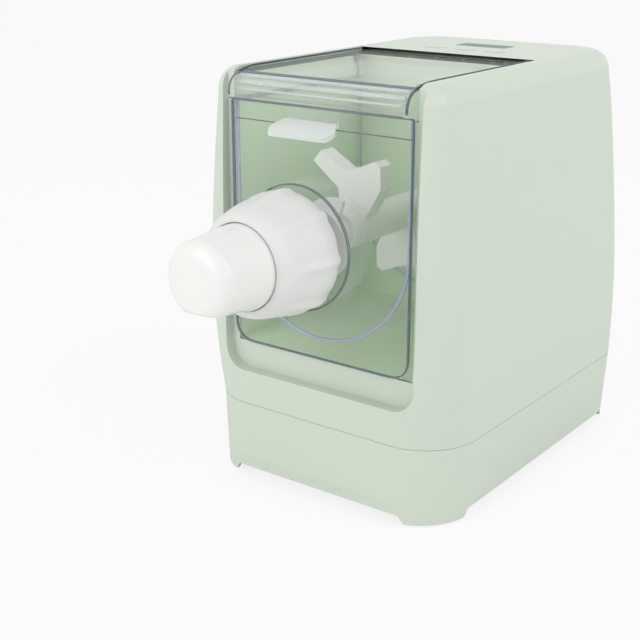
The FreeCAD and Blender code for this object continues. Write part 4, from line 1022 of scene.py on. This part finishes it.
    def cap(self) -> bpy.types.Object:
        """Turn the cap's outside: a slight cone with a round front and a flat, open underside."""
        around, behind, sole_gap, bulge = 256, 0.0004, 0.00004, 0.00005
        bend = np.radians(np.linspace(0, 90, 20))[1:]
        cone = np.linspace(self.front + behind, self.bend_start, 46)
        shoulder = self.flat + self.bend_reach
        disc = np.linspace(1, 0, 10)[1:-1]
        front = self.bend_start - self.bend_depth * np.sin(bend)
        levels = np.concatenate([cone, front, front[-1] - bulge * (1 - disc ** 2)])
        radii = np.concatenate([
            np.interp(-cone, (-self.front, -self.bend_start), (self.head, shoulder)),
            self.flat + self.bend_reach * np.cos(bend), self.flat * disc])
        rings = self.turned(levels, np.repeat(radii[:, None], around, axis=1))
        low = -self.drop - sole_gap
        floor = np.where(levels[:, None] < self.sole_start, self.axis + low, -1.0)
        rings[..., 2] = np.maximum(rings[..., 2], floor)
        points = rings.reshape(-1, 3)
        faces = ring_faces(len(levels), around)
        across, along, _ = points[faces].mean(1).T
        in_sole = points[faces][..., 2].max(1) < self.axis + low + 1e-6
        in_mouth = np.abs(across) < self.mouth_half
        in_mouth &= (along < self.mouth_rear) & (along > self.mouth_front)
        last = (len(levels) - 1) * around
        kept = faces[~(in_sole & in_mouth)].tolist()
        piece = new_piece("outlet_skin", points, kept + [list(range(last, last + around))])
        piece.data.set_sharp_from_angle(angle=math.radians(38))
        return attach(piece, WHITE, "outlet", "white")

    def build(self) -> list[bpy.types.Object]:
        """Build the nose's pieces."""
        return [
            self.collar(),
            self.cap(),
            refined(("outlet_head",), "outlet_cup", WHITE, "outlet", "white", 0.0, 30.0,
                    hidden=self.on_skin),
            refined(("die_plate",), "die_face", DIE, "outlet", "die", 0.0),
        ]


@dataclass
class Studio:
    """The floor, the lamps, the sky and the camera."""

    focal_pixels: float = 1222.74
    image_pixels: int = 640
    sensor: float = 36.0
    eye: Point = (0.4546, -0.6819, 0.3855)
    turn: float = 36.79
    dip: float = 18.8
    sky: float = 0.74
    floor_reach: float = 6.0
    floor_grey: float = 0.9
    floor_glow: float = 0.82
    aim: Point = (0.0, 0.0, 0.14)

    def floor(self) -> None:
        """Lay a wide pale floor that shows white to the camera and keeps the soft shadow."""
        reach = self.floor_reach
        corners = np.array([(-reach, -reach, 0), (reach, -reach, 0),
                            (reach, reach, 0), (-reach, reach, 0)])
        sheet = new_piece("studio_floor", corners, [[0, 1, 2, 3]])
        made = bpy.data.materials.new("studio_floor")
        made.use_nodes = True
        tree = made.node_tree
        shader = tree.nodes["Principled BSDF"]
        shader.inputs["Base Color"].default_value = (*[self.floor_grey] * 3, 1.0)
        shader.inputs["Roughness"].default_value = 0.9
        glow = tree.nodes.new("ShaderNodeEmission")
        glow.inputs["Color"].default_value = (1.0, 1.0, 1.0, 1.0)
        mix = tree.nodes.new("ShaderNodeMixShader")
        path = tree.nodes.new("ShaderNodeLightPath")
        share = tree.nodes.new("ShaderNodeMath")
        share.operation = "MULTIPLY"
        share.inputs[1].default_value = self.floor_glow
        tree.links.new(path.outputs["Is Camera Ray"], share.inputs[0])
        tree.links.new(share.outputs[0], mix.inputs[0])
        tree.links.new(shader.outputs[0], mix.inputs[1])
        tree.links.new(glow.outputs[0], mix.inputs[2])
        tree.links.new(mix.outputs[0], tree.nodes["Material Output"].inputs["Surface"])
        sheet.data.materials.append(made)

    def world(self) -> None:
        """Make a sky that is white where seen, reflected or seen through, and dimmer as light."""
        sky = bpy.data.worlds.new("studio_sky")
        bpy.context.scene.world = sky
        sky.use_nodes = True
        tree = sky.node_tree
        glow = tree.nodes["Background"]
        glow.inputs["Color"].default_value = (1.0, 1.0, 1.0, 1.0)
        path = tree.nodes.new("ShaderNodeLightPath")
        seen = tree.nodes.new("ShaderNodeMath")
        seen.operation = "MAXIMUM"
        through = tree.nodes.new("ShaderNodeMath")
        through.operation = "MAXIMUM"
        tree.links.new(path.outputs["Is Camera Ray"], seen.inputs[0])
        tree.links.new(path.outputs["Is Glossy Ray"], seen.inputs[1])
        tree.links.new(seen.outputs[0], through.inputs[0])
        tree.links.new(path.outputs["Is Transmission Ray"], through.inputs[1])
        level = tree.nodes.new("ShaderNodeMapRange")
        level.inputs["To Min"].default_value = self.sky
        level.inputs["To Max"].default_value = 1.0
        tree.links.new(through.outputs[0], level.inputs["Value"])
        tree.links.new(level.outputs[0], glow.inputs["Strength"])

    def lamp(self, name: str, place: Point, size: float, power: float) -> None:
        """Hang one square lamp that faces the object's middle.

        Args:
            name: The lamp's name.
            place: Where it hangs.
            size: Its side.
            power: Its power in watts.
        """
        light = bpy.data.lights.new(name, "AREA")
        light.size = size
        light.energy = power
        holder = bpy.data.objects.new(name, light)
        holder.location = place
        towards = Vector(self.aim) - Vector(place)
        holder.rotation_euler = towards.to_track_quat("-Z", "Y").to_euler()
        bpy.context.scene.collection.objects.link(holder)

    def camera(self) -> None:
        """Set the camera at the photograph's viewpoint."""
        data = bpy.data.cameras.new("photo_view")
        data.sensor_width = self.sensor
        data.lens = self.focal_pixels * self.sensor / self.image_pixels
        data.clip_end = 50.0
        holder = bpy.data.objects.new("photo_view", data)
        holder.location = self.eye
        holder.rotation_euler = (math.radians(90 - self.dip), 0.0, math.radians(self.turn))
        bpy.context.scene.collection.objects.link(holder)
        bpy.context.scene.camera = holder

    def build(self) -> None:
        """Set up the whole studio."""
        self.floor()
        self.world()
        self.lamp("right_lamp", (1.3, 0.2, 1.1), size=1.2, power=6.2)
        self.lamp("front_lamp", (-0.5, -1.6, 0.8), size=1.2, power=8.5)
        self.camera()
        bpy.context.scene.view_settings.view_transform = "Standard"


def main() -> None:
    """Build every sub-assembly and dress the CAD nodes."""
    for node, finish in NODE_FINISHES.items():
        dress(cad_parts[node], finish)
    for part in (Housing(), Tank(), Lid(), Mixer(), Nose()):
        for piece in part.build():
            log.info("built %s with %d faces", piece.name, len(piece.data.polygons))
    Studio().build()


if __name__ == "__main__":
    logging.basicConfig(level=logging.INFO)
    main()
